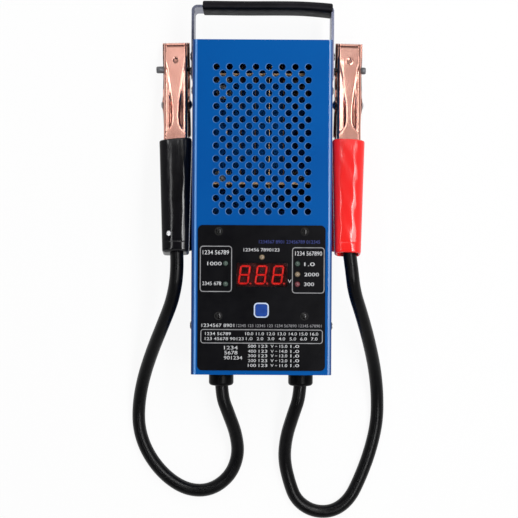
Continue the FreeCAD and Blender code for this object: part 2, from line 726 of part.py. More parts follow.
cutters = []
handle_screws = []
handle_nuts = []
for y in handle_screw_rows:
    seat = at(SIDE_X + STRAP_THICKNESS, y, STRAP_Z)
    handle_screws.append(
        screw(HANDLE_SCREW, HANDLE_SCREW_LENGTH, HANDLE_HEAD, HANDLE_HEAD_HEIGHT, seat, X_AXIS)
    )
    bore = HANDLE_SCREW + 2 * SCREW_CLEARANCE
    cutters.append(rod(bore, at(SIDE_X, y, STRAP_Z), X_AXIS, STRAP_THICKNESS))
    nut_seat = at(SIDE_X - SHEET - HANDLE_NUT_HEIGHT, y, STRAP_Z)
    handle_nuts.append(hex_nut(HANDLE_NUT_FLATS, HANDLE_NUT_HEIGHT, bore, nut_seat, X_AXIS))
save("handle_strap", strap_form(0).cut(both_sides(cutters)))
save("handle_screws", *both_sides(handle_screws))
save("handle_nuts", *both_sides(handle_nuts))


def grip_section(x, droop, flare):
    """Rounded section of the grip at one place along the handle."""
    outline = rounded_face(GRIP_DEPTH, GRIP_HEIGHT + flare, GRIP_CORNER).OuterWire
    outline.rotate(ORIGIN, Y_AXIS, 90)
    outline.translate(at(x, STRAP_MIDDLE_Y + GRIP_LIFT - droop, STRAP_Z))
    return outline


straight = [grip_section(GRIP_START_X, 0, 0), grip_section(GRIP_BEND_X, 0, 0)]
drooping = [grip_section(GRIP_BEND_X, 0, 0), grip_section(GRIP_END_X, GRIP_DROOP, GRIP_FLARE)]
grip = Part.makeLoft(straight, True, True).fuse(Part.makeLoft(drooping, True, True))
save("handle_grip", grip.cut(strap_form(GRIP_FIT)))

# Resistance ribbon: upright runs through the mica boards, joined by half turns
half_ribbon = RIBBON_THICKNESS / 2
ribbon_low_z = RIBBON_Z - RIBBON_WIDTH / 2
ribbon_z = (ribbon_low_z, ribbon_low_z + RIBBON_WIDTH)
turn_low_y = MICA_LOWER_Y - RIBBON_OVERRUN
turn_high_y = MICA_UPPER_Y + RIBBON_OVERRUN
ribbon_x = [(run - (RIBBON_RUNS - 1) / 2) * RIBBON_PITCH for run in range(RIBBON_RUNS)]
ribbon = []
for run, x in enumerate(ribbon_x):
    low_y = turn_low_y - RIBBON_TAIL if run in (0, RIBBON_RUNS - 1) else turn_low_y
    ribbon.append(block((x - half_ribbon, x + half_ribbon), (low_y, turn_high_y), ribbon_z))
for run, x in enumerate(ribbon_x[:-1]):
    upwards = run % 2 == 0
    place = at(x + RIBBON_PITCH / 2, turn_high_y if upwards else turn_low_y, ribbon_low_z)
    outer = rod(RIBBON_PITCH + RIBBON_THICKNESS, place, Z_AXIS, RIBBON_WIDTH)
    inner = rod(RIBBON_PITCH - RIBBON_THICKNESS, place, Z_AXIS, RIBBON_WIDTH)
    reach = RIBBON_PITCH if upwards else -RIBBON_PITCH
    y_limits = sorted((place.y, place.y + reach))
    half = block((place.x - RIBBON_PITCH, place.x + RIBBON_PITCH), y_limits, ribbon_z)
    ribbon.append(outer.cut(inner).common(half))
ribbon = ribbon[0].fuse(ribbon[1:]).removeSplitter()
terminal_bore = TERMINAL_BOLT + 2 * SCREW_CLEARANCE
holes = [
    rod(terminal_bore, at(x - half_ribbon, TERMINAL_BOLT_Y, RIBBON_Z), X_AXIS, RIBBON_THICKNESS)
    for x in (ribbon_x[0], ribbon_x[-1])
]
save("load_ribbon", ribbon.cut(holes))

# Mica boards on welded angle brackets
mica_bore = MICA_SCREW + 2 * SCREW_CLEARANCE
brackets = []
mica_screws = []
for name, board_y, facing in (("upper", MICA_UPPER_Y, -1), ("lower", MICA_LOWER_Y, 1)):
    y_limits = (board_y - MICA_THICKNESS / 2, board_y + MICA_THICKNESS / 2)
    mica = block((-MICA_LENGTH / 2, MICA_LENGTH / 2), y_limits, (MICA_BOTTOM_Z, MICA_TOP_Z))
    slot = half_ribbon + RIBBON_SLOT_GAP
    slot_z = (ribbon_z[0] - RIBBON_SLOT_GAP, ribbon_z[1] + RIBBON_SLOT_GAP)
    cutters = [block((x - slot, x + slot), y_limits, slot_z) for x in ribbon_x]
    inward = Y_AXIS * facing
    for x in (-BRACKET_X, BRACKET_X):
        face_y = board_y + facing * MICA_THICKNESS / 2
        x_limits = (x - BRACKET_WIDTH / 2, x + BRACKET_WIDTH / 2)
        riser_y = sorted((face_y, face_y + facing * BRACKET_SHEET))
        foot_y = sorted((face_y, face_y + facing * BRACKET_FOOT))
        riser = block(x_limits, riser_y, (SHEET, SHEET + BRACKET_HEIGHT))
        foot = block(x_limits, foot_y, (SHEET, SHEET + BRACKET_SHEET))
        bore = rod(mica_bore, at(x, riser_y[0], MICA_SCREW_Z), Y_AXIS, BRACKET_SHEET)
        brackets.append(riser.fuse(foot).removeSplitter().cut(bore))
        cutters.append(rod(mica_bore, at(x, y_limits[0], MICA_SCREW_Z), Y_AXIS, MICA_THICKNESS))
        seat = at(x, face_y + facing * BRACKET_SHEET, MICA_SCREW_Z)
        shank = MICA_THICKNESS + BRACKET_SHEET + PANEL_NUT_HEIGHT
        mica_screws.append(screw(MICA_SCREW, shank, PANEL_HEAD, PANEL_HEAD_HEIGHT, seat, inward))
        back = at(x, board_y - facing * MICA_THICKNESS / 2, MICA_SCREW_Z)
        mica_screws.append(hex_nut(PANEL_NUT_FLATS, PANEL_NUT_HEIGHT, mica_bore, back, -inward))
    save(name + "_mica_board", mica.cut(cutters))
save("mica_brackets", *brackets)
save("mica_screws", *mica_screws)

# Relay on the back wall, with two studs for the heavy current
relay_x = (RELAY_X - RELAY_WIDTH / 2, RELAY_X + RELAY_WIDTH / 2)
relay_y = (RELAY_Y - RELAY_LENGTH / 2, RELAY_Y + RELAY_LENGTH / 2)
relay = block(relay_x, relay_y, (SHEET, RELAY_TOP_Z))
stud_places = [at(RELAY_X, RELAY_Y + end * RELAY_STUD_SPAN / 2, RELAY_TOP_Z) for end in (-1, 1)]
studs = [rod(RELAY_STUD, place, Z_AXIS, RELAY_STUD_LENGTH) for place in stud_places]
save("load_relay", relay.fuse(studs))
stud_bore = RELAY_STUD + 2 * SCREW_CLEARANCE
nut_seats = [stud_places[0] + Z_AXIS * LUG_THICKNESS, stud_places[1] + Z_AXIS * BAR_THICKNESS]
relay_nuts = [hex_nut(RELAY_NUT_FLATS, RELAY_NUT_HEIGHT, stud_bore, seat, Z_AXIS) for seat in nut_seats]
save("relay_nuts", *relay_nuts)

# Bar from the relay's upper stud to the ribbon's right end
bar_inside_x = ribbon_x[-1] + half_ribbon
bar_outside_x = bar_inside_x + BAR_THICKNESS
bar_y = (stud_places[1].y - BAR_WIDTH / 2, stud_places[1].y + BAR_WIDTH / 2)
bar_z = (RELAY_TOP_Z, RELAY_TOP_Z + BAR_THICKNESS)
flat = block((RELAY_X - BAR_WIDTH / 2, bar_outside_x), bar_y, bar_z)
upright_y = (bar_y[0], TERMINAL_BOLT_Y + BAR_WIDTH / 2)
upright = block((bar_inside_x, bar_outside_x), upright_y, (RELAY_TOP_Z, ribbon_z[1]))
stud_hole = rod(stud_bore, stud_places[1], Z_AXIS, BAR_THICKNESS)
bolt_hole = rod(terminal_bore, at(bar_inside_x, TERMINAL_BOLT_Y, RIBBON_Z), X_AXIS, BAR_THICKNESS)
save("load_bar", flat.fuse(upright).removeSplitter().cut([stud_hole, bolt_hole]))


def lug(end, tongue_side, along):
    """Cable lug: a barrel that ends at the cable and a flat tongue with a bolt hole.

    end is where the cable meets the barrel, along points on to the tongue, and the tongue
    lies on the barrel's side that tongue_side points to.
    """
    barrel = rod(LUG_BARREL, end, along, LUG_BARREL_LENGTH)
    across = along.cross(tongue_side)
    start = end + along * (LUG_BARREL_LENGTH - LUG_THICKNESS)
    corner = start + tongue_side * (LUG_BARREL / 2 - LUG_THICKNESS)
    low = corner - across * (LUG_WIDTH / 2)
    edge = along * (LUG_TONGUE + LUG_THICKNESS)
    face = flat_face(low, low + edge, low + edge + across * LUG_WIDTH, low + across * LUG_WIDTH)
    return barrel.fuse(face.extrude(tongue_side * LUG_THICKNESS))


# Lug and inner lead on the ribbon's left end
lug_face_x = ribbon_x[0] - half_ribbon
negative_lug_end = at(
    lug_face_x - LUG_BARREL / 2, TERMINAL_BOLT_Y - LUG_TONGUE / 2 - LUG_BARREL_LENGTH, RIBBON_Z
)
negative_lug = lug(negative_lug_end, X_AXIS, Y_AXIS)
lug_bore_start = at(lug_face_x - LUG_THICKNESS, TERMINAL_BOLT_Y, RIBBON_Z)
save("negative_lug", negative_lug.cut(rod(terminal_bore, lug_bore_start, X_AXIS, LUG_THICKNESS)))
negative_inner_route = [
    (-GLAND_X, -WALL_OUTSIDE_Y, GLAND_Z),
    (-GLAND_X, -WALL_OUTSIDE_Y + 24, GLAND_Z),
    (-GLAND_X - 3.1, -WALL_OUTSIDE_Y + 48.5, 29),
    (negative_lug_end.x, negative_lug_end.y - 29.5, RIBBON_Z),
    (negative_lug_end.x, negative_lug_end.y, RIBBON_Z),
]
save("negative_inner_lead", cord("negative_inner_lead", negative_inner_route, CABLE_DIAMETER))

# Lug and inner lead on the relay's lower stud
positive_lug_end = at(
    RELAY_X, stud_places[0].y - LUG_TONGUE / 2 - LUG_BARREL_LENGTH, RELAY_TOP_Z + LUG_BARREL / 2
)
positive_lug = lug(positive_lug_end, -Z_AXIS, Y_AXIS)
save("positive_lug", positive_lug.cut(rod(stud_bore, stud_places[0], Z_AXIS, LUG_THICKNESS)))
positive_inner_route = [
    (GLAND_X, -WALL_OUTSIDE_Y, GLAND_Z),
    (GLAND_X, -WALL_OUTSIDE_Y + 21, GLAND_Z),
    (RELAY_X, -WALL_OUTSIDE_Y + 36.5, RELAY_TOP_Z + LUG_BARREL / 2),
    (RELAY_X, positive_lug_end.y, RELAY_TOP_Z + LUG_BARREL / 2),
]
save("positive_inner_lead", cord("positive_inner_lead", positive_inner_route, CABLE_DIAMETER))

# Bolts and nuts that clamp the ribbon's ends to the lug and the bar
terminal_bolts = []
for inside_x, outward, stack in (
    (ribbon_x[0] + half_ribbon, -1, RIBBON_THICKNESS + LUG_THICKNESS),
    (ribbon_x[-1] - half_ribbon, 1, RIBBON_THICKNESS + BAR_THICKNESS),
):
    axis = X_AXIS * outward
    seat = at(inside_x, TERMINAL_BOLT_Y, RIBBON_Z)
    shank = stack + PANEL_NUT_HEIGHT
    head = screw(TERMINAL_BOLT, shank, TERMINAL_HEAD, TERMINAL_HEAD_HEIGHT, seat, -axis)
    nut_seat = seat + axis * stack
    nut = hex_nut(TERMINAL_HEAD, PANEL_NUT_HEIGHT, terminal_bore, nut_seat, axis)
    terminal_bolts += [head, nut]
save("terminal_bolts", *terminal_bolts)

# Two thin wires from the board's connector to the relay's coil
control_wires = []
for side in (-1, 1):
    x = CONNECTOR_X + side * WIRE_SPACING / 2
    coil_y = connector_y + COIL_ROW + side * WIRE_SPACING
    start_z = BOARD_BOTTOM_Z - CONNECTOR_HEIGHT
    route = [
        (x, connector_y, start_z),
        (x, connector_y, start_z - WIRE_DROP),
        (x + WIRE_SWING_X, connector_y + WIRE_SWING_Y, WIRE_SWING_Z),
        (relay_x[0] - COIL_RUN, coil_y, COIL_Z),
        (relay_x[0], coil_y, COIL_Z),
    ]
    control_wires.append(cord("control_wire", route, CONTROL_WIRE))
save("control_wires", *control_wires)


# Glands: a rounded head outside the bottom wall, a threaded neck and a nut inside
def gland(x):
    head, neck = GLAND_HEAD / 2, GLAND_NECK / 2
    bore = CABLE_DIAMETER / 2 + CABLE_GAP
    k = GLAND_HEAD_ROUND * (1 - math.sqrt(0.5))
    points = [
        (bore, GLAND_HEAD_LENGTH),
        (bore, -GLAND_NECK_LENGTH),
        (neck, -GLAND_NECK_LENGTH),
        (neck, 0),
        (head, 0),
        (head, GLAND_HEAD_LENGTH - GLAND_HEAD_ROUND),
        ((head - k, GLAND_HEAD_LENGTH - k), (head - GLAND_HEAD_ROUND, GLAND_HEAD_LENGTH)),
    ]
    return turned(points, at(x, -WALL_OUTSIDE_Y, GLAND_Z), -Y_AXIS)


for name, x in (("negative", -GLAND_X), ("positive", GLAND_X)):
    save(name + "_gland", gland(x))
    nut_place = at(x, -WALL_INSIDE_Y, GLAND_Z)
    nut_bore = GLAND_NECK + 2 * GLAND_GAP
    save(name + "_gland_nut", hex_nut(GLAND_NUT_FLATS, GLAND_NUT_HEIGHT, nut_bore, nut_place, Y_AXIS))


# Clamp pieces are drawn with the web's outside on z = 0, the jaw along +Y and the pivot
# axis along X at a depth below the web, then set in place as the upper or the lower half.
def jaw_line(along):
    """Depth at which a half's edges stop, just short of the plane where the jaws meet."""
    return -PIVOT_DEPTH + along * JAW_SLOPE + JAW_GAP


def side_outline(width):
    """Prism of a half's side view: nose, mouth, pivot boss and handle."""
    nose_start = JAW_LENGTH - NOSE_RUN
    mouth_middle = (MOUTH_FRONT + MOUTH_BACK) / 2
    above = SHELL_SHEET
    face = flat_face(
        at(-width, -TAIL_LENGTH, above),
        at(-width, nose_start, above),
        at(-width, nose_start, 0),
        at(-width, JAW_LENGTH, jaw_line(JAW_LENGTH)),
        at(-width, MOUTH_FRONT, jaw_line(MOUTH_FRONT)),
        (
            at(-width, mouth_middle, jaw_line(mouth_middle) + MOUTH_DEPTH),
            at(-width, MOUTH_BACK, jaw_line(MOUTH_BACK)),
        ),
        at(-width, PIVOT_BOSS, -PIVOT_DEPTH),
        (at(-width, 0, -PIVOT_DEPTH - PIVOT_BOSS), at(-width, -PIVOT_BOSS, -PIVOT_DEPTH)),
        at(-width, -HEEL_START, -HANDLE_DEPTH),
        at(-width, -TAIL_LENGTH, -HANDLE_DEPTH),
    )
    return face.extrude(at(2 * width, 0, 0))


def nose(width):
    """Lip bent down from the web's end to the jaw line, with a toothed edge."""
    drop = -jaw_line(JAW_LENGTH)
    across = SHELL_SHEET * math.hypot(NOSE_RUN, drop) / drop
    half = width / 2
    start = JAW_LENGTH - NOSE_RUN
    face = flat_face(
        at(-half, start - across, 0),
        at(-half, start, 0),
        at(-half, JAW_LENGTH, -drop),
        at(-half, JAW_LENGTH - across, -drop),
    )
    lip = face.extrude(at(width, 0, 0))
    pitch = (width - 2 * SHELL_BEND) / TOOTH_COUNT
    notches = []
    for gap in range(TOOTH_COUNT - 1):
        x = (gap - (TOOTH_COUNT - 2) / 2) * pitch
        low = -drop - TOOTH_DEPTH
        notch = flat_face(
            at(x - TOOTH_NOTCH / 2, start, low),
            at(x + TOOTH_NOTCH / 2, start, low),
            at(x, start, -drop + TOOTH_DEPTH),
        )
        notches.append(notch.extrude(at(0, 2 * NOSE_RUN, 0)))
    return lip.cut(notches)


def shell_blank(width, back, front):
    """Channel between two places along the clamp, cut to the side view."""
    blank = channel(width, PIVOT_DEPTH + PIVOT_BOSS, SHELL_SHEET, SHELL_BEND, front - back)
    blank.translate(at(0, back, 0))
    return blank.common(side_outline(width))


pivot_hole = rod(RIVET + 2 * RIVET_GAP, at(-SHELL_WIDTH, 0, -PIVOT_DEPTH), X_AXIS, 2 * SHELL_WIDTH)
pin_place = at(-SHELL_WIDTH, PIN_ALONG, -PIN_DEPTH)
pin_hole = rod(PIN + 2 * SCREW_CLEARANCE, pin_place, X_AXIS, 2 * SHELL_WIDTH)

upper_shell = shell_blank(SHELL_WIDTH, -TAIL_LENGTH, JAW_LENGTH).fuse(nose(SHELL_WIDTH))
upper_shell = upper_shell.removeSplitter().cut([pivot_hole, pin_hole])

# The lower half is wider at the jaw, so that the upper one nests in it, and steps in to the handle
joggle_y = (-JOGGLE_START - SHELL_SHEET, -JOGGLE_START)
wide = shell_blank(LOWER_WIDTH, joggle_y[0], JAW_LENGTH)
narrow = shell_blank(SHELL_WIDTH, LOWER_TAIL_CUT - TAIL_LENGTH, joggle_y[1])
step_x = (SHELL_WIDTH / 2 - SHELL_SHEET, LOWER_WIDTH / 2)
step = block(step_x, joggle_y, (-HANDLE_DEPTH, -SHELL_BEND))
lower_shell = wide.fuse([narrow, nose(LOWER_WIDTH)] + both_sides([step]))
lower_shell = lower_shell.removeSplitter().cut(pivot_hole)

# Rivet, cross pin and the contact block that the pin holds under the upper web
rivet_half = LOWER_WIDTH / 2
rivet_ends = []
for side in (-1, 1):
    seat = at(side * rivet_half, 0, -PIVOT_DEPTH)
    rivet_ends.append(screw(RIVET, rivet_half, RIVET_HEAD, RIVET_HEAD_HEIGHT, seat, X_AXIS * side))
rivet = rivet_ends[0].fuse(rivet_ends[1]).removeSplitter()
pin_end_x = SHELL_WIDTH / 2 + PIN_TAIL
cross_pin = rod(PIN, at(-SHELL_WIDTH / 2, PIN_ALONG, -PIN_DEPTH), X_AXIS, SHELL_WIDTH / 2 + pin_end_x)
pin_head = rod(PIN_HEAD, at(-SHELL_WIDTH / 2, PIN_ALONG, -PIN_DEPTH), -X_AXIS, PIN_HEAD_LENGTH)
cross_pin = cross_pin.fuse(pin_head)
contact_half = SHELL_WIDTH / 2 - SHELL_BEND - CONTACT_SIDE_GAP
contact_z = (-SHELL_SHEET - CONTACT_HEIGHT, -SHELL_SHEET)
contact = block((-contact_half, contact_half), (CONTACT_BACK, CONTACT_FRONT), contact_z).cut(pin_hole)


def sleeve(length, cable_hole):
    """Dipped plastic sleeve on a handle, flared at its mouth and a little narrower at its closed end."""
    height = HANDLE_DEPTH + 2 * SLEEVE_WALL
    width = SHELL_WIDTH + 2 * SLEEVE_WALL
    sections = []
    for along, taper in ((-SLEEVE_START, -SLEEVE_FLARE), (-length, SLEEVE_TAPER)):
        outline = rounded_face(width - taper, height, SLEEVE_ROUND).OuterWire
        outline.rotate(ORIGIN, X_AXIS, 90)
        outline.translate(at(0, along, -HANDLE_DEPTH / 2))
        sections.append(outline)
    form = Part.makeLoft(sections, True, True)
    inside = SHELL_WIDTH / 2 + SLEEVE_FIT
    end = SLEEVE_END_WALL - length
    cavity = block((-inside, inside), (end, -SLEEVE_START), (-HANDLE_DEPTH - SLEEVE_FIT, SLEEVE_FIT))
    cutters = [cavity]
    if cable_hole:
        start = at(0, -length, -CABLE_AXIS_DEPTH)
        cutters.append(rod(CABLE_DIAMETER + 2 * SLEEVE_MOUTH_GAP, start, Y_AXIS, SLEEVE_END_WALL))
    return form.cut(cutters)


# Crimp: a tongue under the upper web and a barrel that takes the cable's end
tongue_z = (-SHELL_SHEET - CRIMP_TONGUE_HEIGHT, -SHELL_SHEET)
tongue_half = CRIMP_TONGUE_WIDTH / 2
tongue = block((-tongue_half, tongue_half), (-CRIMP_STEP - CRIMP_TONGUE_HEIGHT, -CRIMP_FRONT), tongue_z)
barrel = rod(CRIMP_BARREL, at(0, -CRIMP_BACK, -CABLE_AXIS_DEPTH), Y_AXIS, CRIMP_BACK - CRIMP_STEP)
crimp = barrel.fuse(tongue)


def spring_wire():
    """Torsion spring about the pivot: its turns climb along X and its legs lie along the handles.

    Each quarter turn is a pair of arcs that share a tangent, and both legs run on in line.
    """
    start_turn = math.radians(-90)
    sweep = 2 * math.pi * SPRING_TURNS + math.radians(180 - CLAMP_SPREAD)
    climb = SPRING_PITCH / (2 * math.pi)
    steps = round(sweep / (math.pi / 2))
    knots = []
    for step in range(steps + 1):
        turn = sweep * step / steps
        angle = start_turn + turn
        x = climb * (turn - sweep / 2)
        point = at(x, SPRING_RADIUS * math.cos(angle), SPRING_RADIUS * math.sin(angle))
        lead = 0 if step in (0, steps) else climb
        tangent = at(lead, -SPRING_RADIUS * math.sin(angle), SPRING_RADIUS * math.cos(angle))
        knots.append((point, tangent.normalize()))
    first, last = knots[0], knots[-1]
    edges = [Part.LineSegment(first[0] - first[1] * SPRING_LEG, first[0]).toShape()]
    for (p, t), (q, u) in zip(knots, knots[1:]):
        chord = q - p
        pull = chord.dot(t + u)
        slack = 2 * (1 - t.dot(u))
        reach = (math.sqrt(pull * pull + slack * chord.dot(chord)) - pull) / slack
        corner, other = p + t * reach, q - u * reach
        joint = (corner + other) * 0.5
        edges.append(bend_arc(p, corner, joint)[0].toShape())
        edges.append(bend_arc(joint, other, q)[0].toShape())
    edges.append(Part.LineSegment(last[0], last[0] + last[1] * SPRING_LEG).toShape())
    solid, length = tube(edges, SPRING_WIRE)
    points = Part.Wire(edges).discretize(600)
    apart = round(SPRING_RADIUS * math.pi / (length / 600))
    gaps = [
        a.distanceToPoint(b) - SPRING_WIRE
        for place, a in enumerate(points)
        for b in points[place + apart:]
    ]
    print("spring least gap", round(min(gaps), 2), "volume", round(solid.Volume, 1))
    return solid


def upper_place(solid):
    """Set a piece drawn on the web into the upper half, about the pivot."""
    solid.translate(at(0, 0, PIVOT_DEPTH))
    solid.rotate(ORIGIN, X_AXIS, -CLAMP_SPREAD)
    return solid


def lower_place(solid):
    """Set a piece drawn on the web into the lower half, which lies flat, about the pivot."""
    solid.translate(at(0, 0, PIVOT_DEPTH))
    solid.rotate(ORIGIN, Y_AXIS, 180)
    return solid


clamp = {
    "upper_jaw": upper_place(upper_shell),
    "upper_sleeve": upper_place(sleeve(SLEEVE_END, True)),
    "cross_pin": upper_place(cross_pin),
    "jaw_contact": upper_place(contact),
    "cable_crimp": upper_place(crimp),
    "lower_jaw": lower_place(lower_shell),
    "lower_sleeve": lower_place(sleeve(SLEEVE_END - LOWER_TAIL_CUT, False)),
    "pivot_rivet": lower_place(rivet),
    "jaw_spring": spring_wire(),
}
for piece, solid in clamp.items():
    solid.rotate(ORIGIN, Z_AXIS, CLAMP_YAW)
    solid.translate(at(-CLAMP_X, CLAMP_PIVOT_Y, CLAMP_PIVOT_Z))
    save("negative_" + piece, solid)
    save("positive_" + piece, solid.mirror(ORIGIN, X_AXIS))


def crimp_end(along, side):
    """Place on the cable's axis inside the upper handle, the given length behind the pivot."""
    point = upper_place(Part.Vertex(0, -along, -CABLE_AXIS_DEPTH))
    point.rotate(ORIGIN, Z_AXIS, CLAMP_YAW)
    point.translate(at(-CLAMP_X, CLAMP_PIVOT_Y, CLAMP_PIVOT_Z))
    return (-side * point.X, point.Y, point.Z)


# Cables: out of a gland, down to the ground in a loop, and up into the clamp's upper handle
negative_route = [
    (-GLAND_X, -WALL_OUTSIDE_Y, GLAND_Z),
    (-GLAND_X, -WALL_OUTSIDE_Y - 19.6, GLAND_Z),
    (-25.2, -159.8, 23.5),
    (-19.4, -177.0, 15.0),
    (-17.8, -194.7, 8.5),
    (-24.2, -212.0, 5.8),
    (-39.3, -223.6, 5.3),
    (-57.7, -224.0, 5.3),
    (-75.7, -213.6, 5.3),
    (-89.8, -195.7, 5.3),
    (-97.4, -175.7, 5.3),
    (-97.5, -155.5, 7.4),
    (-93.1, -133.2, 15.0),
    (-85.4, -110.0, 28.0),
    (-76.2, -88.2, 42.0),
    (-68.4, -68.5, 53.0),
    crimp_end(SLEEVE_END + CABLE_LEAD_OUT, -1),
    crimp_end(CRIMP_BACK + CRIMP_END_GAP, -1),
]
positive_route = [
    (GLAND_X, -WALL_OUTSIDE_Y, GLAND_Z),
    (GLAND_X, -WALL_OUTSIDE_Y - 19.3, GLAND_Z),
    (24.6, -160.7, 23.5),
    (19.0, -179.2, 15.0),
    (18.0, -197.7, 8.5),
    (22.6, -215.6, 5.8),
    (28.6, -231.0, 5.3),
    (42.0, -240.6, 5.3),
    (58.2, -240.6, 5.3),
    (71.0, -230.6, 5.3),
    (79.0, -214.0, 5.3),
    (87.2, -192.1, 5.3),
    (92.9, -168.9, 5.3),
    (93.1, -147.1, 7.9),
    (89.8, -125.1, 16.0),
    (83.8, -102.1, 29.5),
    (76.8, -80.8, 43.5),
    (70.2, -63.0, 54.0),
    crimp_end(SLEEVE_END + CABLE_LEAD_OUT, 1),
    crimp_end(CRIMP_BACK + CRIMP_END_GAP, 1),
]
save("negative_cable", cord("negative_cable", negative_route, CABLE_DIAMETER))
save("positive_cable", cord("positive_cable", positive_route, CABLE_DIAMETER))
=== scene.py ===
import math

import bmesh
import bpy
import numpy as np
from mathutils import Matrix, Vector


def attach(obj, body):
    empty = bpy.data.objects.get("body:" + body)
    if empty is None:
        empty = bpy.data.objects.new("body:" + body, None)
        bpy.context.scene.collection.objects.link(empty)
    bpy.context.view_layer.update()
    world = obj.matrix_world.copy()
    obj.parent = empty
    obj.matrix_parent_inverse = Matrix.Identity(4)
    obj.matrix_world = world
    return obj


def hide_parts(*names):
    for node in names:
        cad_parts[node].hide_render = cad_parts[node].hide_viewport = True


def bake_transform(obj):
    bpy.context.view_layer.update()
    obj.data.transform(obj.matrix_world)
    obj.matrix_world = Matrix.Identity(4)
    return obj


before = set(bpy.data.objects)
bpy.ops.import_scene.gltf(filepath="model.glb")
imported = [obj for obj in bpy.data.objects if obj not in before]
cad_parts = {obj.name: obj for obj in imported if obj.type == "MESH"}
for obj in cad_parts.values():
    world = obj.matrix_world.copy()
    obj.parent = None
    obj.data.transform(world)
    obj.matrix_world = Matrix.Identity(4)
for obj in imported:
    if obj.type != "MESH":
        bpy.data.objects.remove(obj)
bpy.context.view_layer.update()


# Studio: a pale matt floor under the tester and a dim sky that is brightest near the horizon. Three
# long strip lights hang overhead, with two panels and four small lamps beyond the handle, and the
# camera looks straight down on the front panel.
CAMERA_PLACE = (-0.00194, -0.0386, 0.970)
CAMERA_ROLL = 0.00543
CAMERA_LENS = 83.95
FLOOR_HALF = 40.0
FLOOR_TONES = ((246, 246, 246), (250, 250, 250))
FLOOR_GLOW = 0.92
SKY_LEVELS = ((0.3, 0.55), (0.85, 0.03))
STRIPS = ((-0.36, 0.05, 1.6), (0.34, 0.10, 7.0), (0.51, 0.22, 4.8))
PANELS = ((-0.19, 0.34, 0.43), (0.1075, 0.255, 0.225))
GLINTS = ((-0.371, 0.07, 0.32), (-0.05, 0.035, 0.1), (0.063, 0.03, 0.13), (0.318, 0.05, 0.24))
LIGHT_ROWS = (
    ("strip", STRIPS, 0.08, 1.1, 1.5),
    ("panel", PANELS, 0.96, 0.89, 0.42),
    ("glint", GLINTS, 0.70, 0.75, 0.14),
)
LIGHT_AIM_Z = 0.03
TONE_SPAN = (0.32, 0.68)
GLOSS_SPAN = (0.3, 0.7)

scene = bpy.context.scene
scene.view_settings.view_transform = "Standard"


def linked(name, data):
    """Object of a mesh, a lamp or a camera, in the scene."""
    made = bpy.data.objects.new(name, data)
    scene.collection.objects.link(made)
    return made


def paint(red, green, blue):
    """Linear colour of a 0 to 255 swatch: small shares are divided by 12.92, others raised to 2.4."""
    share = np.array((red, green, blue)) / 255
    linear = np.where(share < 0.04045, share / 12.92, ((share + 0.055) / 1.055) ** 2.4)
    return (*linear.tolist(), 1.0)


def node(tree, kind, inputs=None, **settings):
    """Outputs of a new node. Each input is linked from a socket or given a value."""
    made = tree.nodes.new("ShaderNode" + kind)
    for name, value in settings.items():
        setattr(made, name, value)
    for socket, value in (inputs or {}).items():
        if isinstance(value, bpy.types.NodeSocket):
            tree.links.new(value, made.inputs[socket])
        else:
            made.inputs[socket].default_value = value
    return made.outputs


def maths(tree, operation, *values):
    """Result of one operation on values or sockets."""
    return node(tree, "Math", dict(enumerate(values)), operation=operation)["Value"]


def ramp_of(tree, value, stops):
    """Colour ramp of (position, colour) stops, driven by a value."""
    outputs = node(tree, "ValToRGB", {"Fac": value})
    elements = outputs[0].node.color_ramp.elements
    while len(elements) < len(stops):
        elements.new(0.5)
    for element, (position, colour) in zip(elements, stops):
        element.position = position
        element.color = colour
    return outputs


def ranged(tree, value, source, target=(0.0, 1.0)):
    """Value moved from a source range to a target range and held inside it."""
    limits = dict(zip(("From Min", "From Max", "To Min", "To Max"), (*source, *target)))
    return node(tree, "MapRange", {"Value": value, **limits})["Result"]


def surface(name, tones, tone_scale, roughness, grain_scale, grain_depth, stretch=(1, 1, 1), **sockets):
    """Finish with wandering tone and gloss and a fine grain.

    One noise picks between two tones, a second moves the roughness between two values and a
    third raises the grain, all on object coordinates drawn out by the stretch. Other values are
    set on the shader itself.
    """
    material = bpy.data.materials.new(name)
    material.use_nodes = True
    tree = material.node_tree
    place = node(tree, "TexCoord")["Object"]
    drawn_out = node(tree, "Mapping", {"Vector": place, "Scale": stretch})["Vector"]

    def noise(scale, detail):
        return node(tree, "TexNoise", {"Vector": drawn_out, "Scale": scale, "Detail": detail})["Fac"]

    stops = [(position, paint(*tone)) for position, tone in zip(TONE_SPAN, tones)]
    grain = {"Height": noise(grain_scale, 2.0), "Distance": grain_depth}
    shader = tree.nodes["Principled BSDF"].inputs
    tree.links.new(ramp_of(tree, noise(tone_scale, 4.0), stops)["Color"], shader["Base Color"])
    gloss = ranged(tree, noise(tone_scale * 2.7, 3.0), GLOSS_SPAN, roughness)
    tree.links.new(gloss, shader["Roughness"])
    tree.links.new(node(tree, "Bump", grain)["Normal"], shader["Normal"])
    for socket, value in sockets.items():
        shader[socket.replace("_", " ")].default_value = value
    return material


floor_mesh = bpy.data.meshes.new("studio_floor")
corners = [(x * FLOOR_HALF, y * FLOOR_HALF, 0.0) for x, y in ((-1, -1), (1, -1), (1, 1), (-1, 1))]
floor_mesh.from_pydata(corners, [], [(0, 1, 2, 3)])
floor_paper = surface("pale_floor", FLOOR_TONES, 3.0, (0.8, 0.9), 300.0, 2e-5)
tree = floor_paper.node_tree
ray = node(tree, "LightPath")
mirrored = maths(tree, "MAXIMUM", ray["Is Glossy Ray"], ray["Is Transmission Ray"])
seen = maths(tree, "MAXIMUM", ray["Is Camera Ray"], mirrored)
lit_paper = tree.nodes["Principled BSDF"].outputs["BSDF"]
white = node(tree, "Emission")["Emission"]
floor_parts = {"Fac": maths(tree, "MULTIPLY", seen, FLOOR_GLOW), 1: lit_paper, 2: white}
floor_look = node(tree, "MixShader", floor_parts)["Shader"]
tree.links.new(floor_look, tree.nodes["Material Output"].inputs["Surface"])
